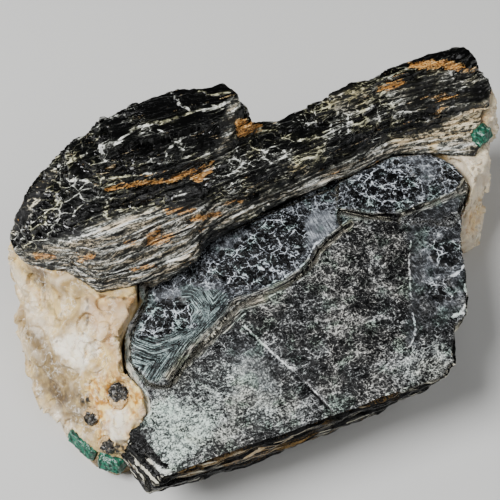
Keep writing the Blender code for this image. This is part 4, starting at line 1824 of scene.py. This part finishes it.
LIGHT_AREAS = (
    area((262, 206), (300, 184), (345, 166), (384, 142), (440, 122), (490, 100), (492, 134),
         (466, 156), (430, 152), (390, 154), (352, 176), (300, 198), soft=5, strength=0.5),
    area((60, 250), (120, 228), (196, 208), (200, 250), (170, 268), (110, 272), soft=8, strength=0.12),
    area((56, 212), (66, 150), (100, 150), (110, 186), (96, 212), (70, 226), soft=10, strength=0.2),
    area((395, 128), (470, 104), (494, 100), (494, 130), (440, 150), (400, 146), soft=6,
         strength=0.4),
)
DARK_AREAS = (
    area((112, 96), (160, 84), (196, 86), (190, 106), (160, 116), (120, 112), soft=5, strength=0.5),
    area((104, 152), (150, 140), (168, 150), (150, 160), (118, 164), soft=4, strength=0.6),
    area((184, 118), (226, 110), (226, 140), (200, 150), (186, 140), soft=4, strength=0.6),
    area((20, 200), (56, 176), (66, 196), (50, 226), (20, 236), soft=5, strength=0.4),
    area((58, 216), (84, 212), (82, 232), (60, 234), soft=4, strength=0.6),
    area((122, 196), (200, 184), (200, 202), (130, 208), soft=4, strength=0.4),
    area((296, 118), (325, 112), (326, 130), (300, 136), soft=4, strength=0.6),
    area((360, 130), (388, 124), (386, 138), (362, 140), soft=4, strength=0.6),
    area((414, 48), (458, 42), (460, 56), (420, 62), soft=4, strength=0.6),
    area((210, 226), (230, 224), (226, 250), (206, 262), soft=4, strength=0.6),
    area((90, 268), (190, 262), (196, 276), (140, 294), (98, 292), soft=5, strength=0.25),
    area((200, 150), (262, 150), (260, 184), (210, 200), soft=8, strength=0.3),
    area((400, 90), (492, 82), (492, 96), (410, 110), soft=6, strength=0.3),
)

# Marks on the book

PLATE_AREAS = (
    area((141, 290), (184, 272), (200, 244), (230, 232), (268, 206), (345, 178), (352, 206),
         (346, 222), (331, 236), (317, 247), (306, 267), (285, 282), (260, 296), (232, 300),
         (212, 326), (190, 340), (165, 372), (146, 384), (124, 366), (122, 338), (136, 310), soft=4),
    area((346, 180), (390, 152), (430, 154), (464, 162), (470, 180), (452, 194), (421, 206),
         (397, 216), (367, 212), (340, 208), soft=4),
    area((424, 222), (460, 226), (468, 262), (464, 300), (444, 318), (424, 300), (418, 250),
         soft=7, strength=0.8),
)
ISLAND_AREAS = (
    area((210, 264), (222, 252), (236, 241), (250, 233), (264, 222), (284, 212), (300, 217),
         (306, 232), (302, 252), (290, 266), (270, 277), (250, 286), (230, 286), (216, 278), soft=5),
    area((140, 324), (150, 309), (166, 299), (190, 299), (200, 310), (192, 322), (176, 331),
         (156, 339), (142, 337), soft=4),
    area((350, 182), (366, 173), (390, 167), (412, 172), (420, 186), (412, 204), (390, 212),
         (362, 208), (348, 196), soft=5),
    area((440, 166), (456, 163), (464, 174), (458, 185), (442, 184), soft=4, strength=0.9),
    area((378, 228), (404, 226), (416, 244), (404, 262), (384, 256), soft=5, strength=0.9),
    area((430, 240), (460, 240), (466, 258), (452, 268), (434, 262), soft=4),
    area((426, 282), (446, 276), (454, 296), (438, 308), soft=4, strength=0.9),
)
# Where the face is painted with glints and a sheen of mirrored light
PAINTED_GLINT_AREAS = (
    area((146, 384), (190, 372), (240, 352), (268, 366), (290, 392), (300, 412), (262, 430),
         (206, 452), (168, 476), (150, 440), (142, 410), soft=14, strength=0.42),
    area((142, 400), (176, 396), (224, 410), (216, 444), (168, 474), (146, 438), soft=12),
    area((400, 360), (440, 340), (456, 350), (446, 378), (400, 388), soft=10, strength=0.4),
    area((128, 338), (150, 344), (196, 360), (160, 386), (146, 384), (124, 362), soft=8,
         strength=0.25),
)
# Where the face is painted with a smooth pearly sheen
PAINTED_SHEEN_AREAS = (
    area((420, 230), (462, 226), (468, 262), (464, 306), (448, 332), (418, 336), soft=8,
         strength=0.45),
    area((306, 214), (332, 208), (336, 226), (322, 244), (306, 248), soft=4),
    area((214, 238), (250, 226), (270, 210), (250, 240), (216, 262), soft=8, strength=0.6),
    area((232, 334), (262, 344), (286, 372), (272, 400), (244, 380), (226, 350), soft=10,
         strength=0.5),
    area((408, 226), (420, 226), (424, 300), (416, 346), (404, 340), (410, 290), soft=5,
         strength=0.75),
    area((420, 206), (458, 192), (468, 204), (440, 222), (424, 220), soft=5, strength=0.7),
    area((390, 154), (424, 152), (440, 170), (424, 190), (418, 170), soft=6, strength=0.6),
    area((150, 290), (190, 284), (220, 284), (226, 292), (190, 300), (150, 304), soft=6,
         strength=0.7),
)
CRINKLE_AREAS = (
    area((126, 342), (150, 338), (196, 328), (228, 304), (262, 300), (246, 314), (228, 332),
         (206, 334), (188, 354), (168, 370), (156, 386), (136, 380), (122, 362), soft=5),
    area((180, 290), (212, 286), (232, 296), (212, 322), (196, 330), soft=5, strength=0.7),
)
LEDGE_STRIPS = (
    line(9.0, (350, 224), (332, 238), (319, 250), (313, 261), (304, 270), (286, 284), (262, 294)),
    line(13.0, (262, 296), (238, 304), (226, 322), (208, 338), (190, 356), (172, 376)),
    line(8.0, (398, 215), (430, 204), (466, 190), strength=0.9),
    line(6.0, (340, 214), (371, 217), (398, 219), strength=0.7),
)
FOLD_GUIDES = (
    line(1.0, (350, 224), (331, 238), (317, 249), (312, 261), (302, 271), (284, 284), (262, 294),
         (236, 303), (214, 326), (192, 350), (166, 388)),
    area((140, 322), (150, 309), (166, 299), (190, 299), (198, 310), (190, 322), (172, 332),
         (154, 337), (143, 333)),
    line(1.0, (340, 212), (371, 215), (398, 217), (430, 204), (468, 188)),
)
FACE_LEDGES = (
    line(4.0, (350, 222), (331, 236), (317, 247), (313, 257), (306, 267), (285, 282),
         (260, 290), strength=0.8),
    line(3.0, (228, 299), (261, 303), (242, 314), (228, 333), (204, 333), (188, 355), (169, 369),
         (159, 385), strength=0.8),
    line(3.0, (235, 302), (215, 325), (200, 340), (180, 366), (165, 385), strength=0.6),
    line(3.0, (456, 214), (470, 232), (462, 250), strength=0.6),
)
FACE_CRACKS = (
    line(3.0, (306, 383), (318, 396), (332, 411)),
    line(2.0, (244, 326), (275, 355), (306, 383), strength=0.35),
    line(2.4, (340, 210), (371, 213), (397, 217), strength=0.6),
)
CRACK_LINES = (
    line(1.8, (244, 326), (275, 355), (290, 368), strength=0.9),
    line(1.4, (290, 368), (306, 383), (320, 397), (331, 409), strength=0.8),
    line(0.8, (284, 348), (300, 347), (318, 350), strength=0.6),
    line(0.8, (282, 356), (304, 357), (330, 355), strength=0.5),
    line(0.8, (238, 350), (250, 372), (256, 390), (266, 410), strength=0.5),
)
# Rims of ledges and ribs: silvery broken leaves with painted highlights
RIM_SILVER_AND_HIGHLIGHT_LINES = (
    line(4.0, (124, 432), (131, 443), (146, 458), (161, 471), (169, 472), strength=1.0),
    line(3.0, (134, 460), (146, 472), (157, 482), strength=0.9),
    line(2.0, (134, 466), (142, 476), (146, 490), strength=0.5),
    line(1.6, (142, 468), (150, 478), (154, 486), strength=0.5),
    line(1.0, (168, 477), (200, 463), (244, 442), (330, 414), strength=0.5),
    line(1.6, (349, 220), (328, 235), (314, 246), (309, 257), (302, 266), (282, 279), (258, 289),
         strength=0.6),
    line(1.2, (350, 229), (334, 242), (321, 253), (316, 265), (308, 274), (288, 288), (264, 299),
         (238, 308), (222, 326), (206, 342), strength=0.6),
    line(1.2, (262, 296), (240, 303), (224, 322), (206, 338), (180, 368), (160, 386), strength=0.5),
    line(1.0, (340, 209), (371, 212), (398, 215), (430, 202), (466, 187), strength=0.7),
    line(1.8, (390, 153), (430, 153), (460, 160), (468, 172), (460, 186), (440, 198),
         strength=0.6),
    line(3.0, (457, 328), (458, 354), (452, 374), (440, 384), strength=0.8),
    line(2.4, (460, 246), (468, 258), (462, 270), (452, 276), strength=0.8),
    line(2.4, (464, 284), (469, 298), (462, 312), (450, 318), strength=0.8),
    line(1.4, (411, 236), (409, 262), (411, 298), strength=0.7),
    line(2.0, (412, 314), (416, 330), (411, 346), strength=0.7),
    line(1.4, (268, 292), (240, 300), (220, 322), (200, 336), (172, 368), strength=0.5),
    line(7.0, (144, 284), (141, 298), (134, 314), (127, 330), (125, 345), (126, 362), (136, 380),
         (146, 398), (149, 412), strength=0.7),
)
# Painted shadows: dark lines below the ledges, in the cracks and between the ribs
PAINTED_SHADOW_LINES = (
    line(3.2, (130, 429), (146, 447), (161, 463), (166, 466)),
    line(2.0, (138, 432), (144, 440), (156, 455), strength=0.8),
    line(3.4, (135, 450), (148, 464), (162, 479)),
    line(1.2, (346, 225), (331, 238), (318, 250), (313, 261), (305, 270), (285, 284), (261, 294),
         (236, 302), strength=0.7),
    line(1.0, (348, 234), (334, 246), (322, 258), (316, 268), (300, 282), strength=0.3),
    line(0.8, (230, 303), (214, 324), (198, 338), (178, 366), (166, 386), strength=0.4),
    line(0.8, (240, 312), (226, 330), (208, 346), (190, 366), strength=0.3),
    line(0.8, (340, 213), (371, 216), (398, 219), (430, 206), (468, 190), strength=0.5),
    line(1.0, (386, 151), (404, 150), (425, 154), strength=0.7),
    line(0.8, (246, 329), (276, 358), (298, 378), strength=0.4),
    line(1.6, (308, 388), (320, 399), (332, 411)),
    line(1.0, (168, 474), (244, 439), (330, 411), (392, 393), (440, 388), strength=0.5),
)
EDGE_STAINS = (
    area((340, 396), (396, 388), (398, 396), (372, 406), (342, 412), soft=4),
    area((244, 434), (262, 432), (262, 440), (246, 442), soft=3),
    area((220, 462), (262, 446), (316, 432), (316, 438), (270, 454), (224, 468), soft=4,
         strength=0.8),
    area((176, 470), (250, 442), (330, 416), (330, 424), (256, 452), (180, 480), soft=5,
         strength=0.4),
)

# Where the flakes show, in pixels of the picture
FLAKE_AREAS = (
    area((106, 384), (114, 381), (124, 384), (130, 390), (126, 400), (116, 402), (108, 396), soft=1.5),
    area((82, 418), (88, 412), (97, 414), (98, 424), (94, 434), (86, 434), (81, 426), soft=1.5),
    area((101, 444), (108, 438), (116, 444), (118, 454), (110, 462), (102, 456), soft=1.5),
)

# Faces of the quartz: pixel, height in mm, and its rise over 10 pixels right and down
LEFT_FACES = (
    (16, 285, -0.2, -0.9, 0.2), (30, 325, 0.0, -0.8, 0.2), (37, 277, -0.9, 0.5, -0.3),
    (58, 293, 0.2, 0.3, -0.3), (74, 318, 0.1, 0.2, 0.3), (95, 315, 0.2, -0.5, 0.0),
    (117, 312, 0.5, 0.4, -0.2), (132, 300, 0.3, 0.5, -0.3), (78, 350, 1.0, 0.1, 0.0),
    (64, 346, 0.6, -0.6, 0.0), (108, 352, 0.0, 0.2, 0.1), (44, 355, -0.2, -0.6, 0.2),
    (58, 385, -0.5, -0.3, 0.4), (74, 400, 0.3, 0.2, 0.1), (68, 428, 0.1, -0.5, 0.4),
    (92, 385, 0.1, 0.1, -0.2), (115, 372, 0.2, 0.2, 0.1), (112, 425, 0.6, 0.2, 0.3),
    (95, 440, 0.0, -0.2, 0.2), (112, 456, -0.3, 0.1, 0.5), (135, 395, 0.2, 0.5, 0.0),
    (84, 455, -0.2, -0.3, 0.5),
)
RIGHT_FACES = (
    (488, 105, 0.3, 0.4, -0.2), (470, 130, 0.0, -0.4, 0.1), (485, 160, 0.3, 0.4, 0.1),
    (474, 190, -0.2, -0.3, 0.2), (484, 200, 0.2, 0.5, 0.2), (468, 220, 0.1, 0.2, 0.3),
    (455, 120, -0.1, -0.2, 0.1),
)

# Marks on the quartz: layer, marks and how uneven their borders are
QUARTZ_LAYERS = (
    ("stain", (
        area((84, 378), (112, 370), (146, 384), (146, 408), (134, 422), (124, 446), (100, 446),
             (92, 412), soft=7),
        area((34, 254), (62, 260), (60, 272), (36, 266), soft=5, strength=0.8),
        area((98, 296), (140, 292), (138, 306), (118, 300), (98, 303), soft=4, strength=0.7),
        area((98, 346), (116, 350), (124, 366), (110, 372), (98, 362), soft=6, strength=0.5),
        area((466, 214), (486, 200), (476, 232), (466, 240), soft=5, strength=0.6),
        area((470, 118), (488, 112), (488, 128), (474, 130), soft=4, strength=0.6),
    ), 4.0),
    ("white", (
        area((56, 342), (66, 334), (86, 333), (98, 342), (98, 352), (82, 374), (70, 366),
             (56, 352), soft=4),
        area((108, 410), (126, 408), (130, 424), (122, 444), (108, 442), soft=5),
        area((8, 260), (18, 270), (42, 298), (34, 304), (16, 292), soft=5, strength=0.6),
        area((50, 404), (70, 420), (84, 440), (72, 440), (56, 424), soft=5, strength=0.5),
        area((20, 300), (44, 312), (52, 340), (34, 330), soft=7, strength=0.35),
    ), 3.0),
    ("smoke", (
        area((26, 322), (46, 334), (66, 376), (88, 398), (90, 426), (76, 426), (50, 400), (30, 360),
             soft=7, strength=0.7),
        area((28, 262), (48, 268), (46, 290), (32, 280), soft=5, strength=0.9),
        area((44, 374), (62, 378), (72, 398), (66, 412), (50, 396), soft=6),
        area((60, 356), (78, 376), (70, 384), (56, 372), soft=5, strength=0.5),
        area((84, 440), (100, 460), (136, 466), (134, 474), (104, 474), (84, 452), soft=5,
             strength=0.7),
    ), 4.0),
    ("pale", (
        area((448, 80), (500, 80), (500, 250), (448, 250), soft=6, strength=0.8),
    ), 4.0),
    ("pink", (
        area((86, 294), (138, 300), (122, 334), (112, 350), (100, 340), (88, 322), soft=6),
    ), 4.0),
    ("dirt", (
        line(4.0, (100, 296), (120, 300), (141, 291), strength=0.7),
        area((110, 442), (132, 446), (136, 466), (120, 468), (106, 456), soft=4),
        area((78, 396), (92, 394), (92, 404), (82, 404), soft=3),
        line(3.0, (122, 340), (118, 352), (124, 368), strength=0.6),
        area((102, 376), (132, 378), (134, 398), (110, 400), soft=5, strength=0.6),
        line(2.5, (86, 296), (88, 312), (85, 328), strength=0.6),
        line(2.5, (10, 259), (31, 274), (46, 299), (62, 325), strength=0.35),
        area((452, 196), (466, 192), (462, 206), soft=3, strength=0.7),
    ), 3.0),
)


# The scene around the specimen


@dataclass(frozen=True)
class SoftBox:
    """A large soft light.

    Attributes:
        name: What the light is called.
        azimuth: Where it hangs, in degrees from the front.
        elevation: How high it hangs above the horizon, in degrees.
        size: Side of the box in metres.
        watts: Its power.
        distance: From the specimen, in metres.
        aim: The point that it faces, in mm.
    """

    name: str
    azimuth: float
    elevation: float
    size: float
    watts: float
    distance: float = 0.8
    aim: tuple[float, float, float] = (0.0, 0.0, 15.0)

    def hang(self) -> None:
        """Adds the light."""
        a, e = math.radians(self.azimuth), math.radians(self.elevation)
        back = Vector((math.sin(a) * math.cos(e), -math.cos(a) * math.cos(e), math.sin(e)))
        place = Vector(self.aim) * MM + back * self.distance
        bpy.ops.object.light_add(type="AREA", location=place)
        lamp = bpy.context.object
        lamp.name = self.name
        lamp.data.shape = "DISK"
        lamp.data.size = self.size
        lamp.data.energy = self.watts
        lamp.rotation_euler = (-back).to_track_quat("-Z", "Y").to_euler()


@dataclass(frozen=True)
class Studio:
    """A pale floor under soft light.

    Attributes:
        boxes: The lights.
        world: How bright the surroundings are.
    """

    boxes: tuple[SoftBox, ...] = (
        SoftBox("key_box", -100, 52, 0.45, 11.0),
        SoftBox("fill_box", 34, 50, 0.7, 2.5),
        SoftBox("back_box", 166, 67, 0.16, 0.18),
    )
    world: float = 0.05

    def set_up(self) -> None:
        """Makes floor, lights and surroundings."""
        bpy.ops.mesh.primitive_plane_add(size=6.0, location=(0, 0, 0))
        floor = bpy.context.object
        floor.name = "floor"
        floor.data.materials.append(FloorFinish().build())
        for box in self.boxes:
            box.hang()
        world = bpy.data.worlds.new("soft_surroundings")
        world.use_nodes = True
        world.node_tree.nodes["Background"].inputs["Color"].default_value = srgb("#f2f4f6")
        world.node_tree.nodes["Background"].inputs["Strength"].default_value = self.world
        bpy.context.scene.world = world


@dataclass
class Specimen:
    """The whole hand specimen.

    Attributes:
    """

    frame: dict

    def build(self) -> None:
        """Builds every mineral."""
        schist, book = SchistFinish().build(), BookFinish().build()
        leaves = BookFinish("phlogopite_leaf_edges", gloss=0.12).build()
        quartz, beryl, flake = QuartzFinish().build(), BerylFinish().build(), FlakeFinish().build()
        parts: list[Mineral] = [
            SchistMass("phlogopite_schist", "phlogopite_schist", schist, soften=3),
            MicaBook("phlogopite_book", "phlogopite_book", book, Detail.BROAD, soften=1,
                     leaves=leaves),
            QuartzLump("quartz_left", "quartz", quartz, Detail.LUMP, soften=1, crease=26,
                       faces=LEFT_FACES),
            QuartzLump("quartz_right", "quartz", quartz, Detail.LUMP, soften=1, crease=26, size=5.0,
                       faces=RIGHT_FACES),
        ]
        for name in ("beryl_front", "beryl_corner", "beryl_right"):
            parts.append(SmallCrystal(name, "beryl", beryl, Detail.SMALL, soften=1, crease=25))
        for name in ("mica_flake_upper", "mica_flake_middle", "mica_flake_lower"):
            parts.append(
                SmallCrystal(name, "mica_flake", flake, Detail.SMALL, 0, 25, ragged=0.3)
            )
        for part in parts:
            part.build(self.frame)


def main() -> None:
    """Builds the scene."""
    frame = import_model()
    Specimen(frame).build()
    Studio().set_up()
    LENS.set_up()


if __name__ == "__main__":
    main()
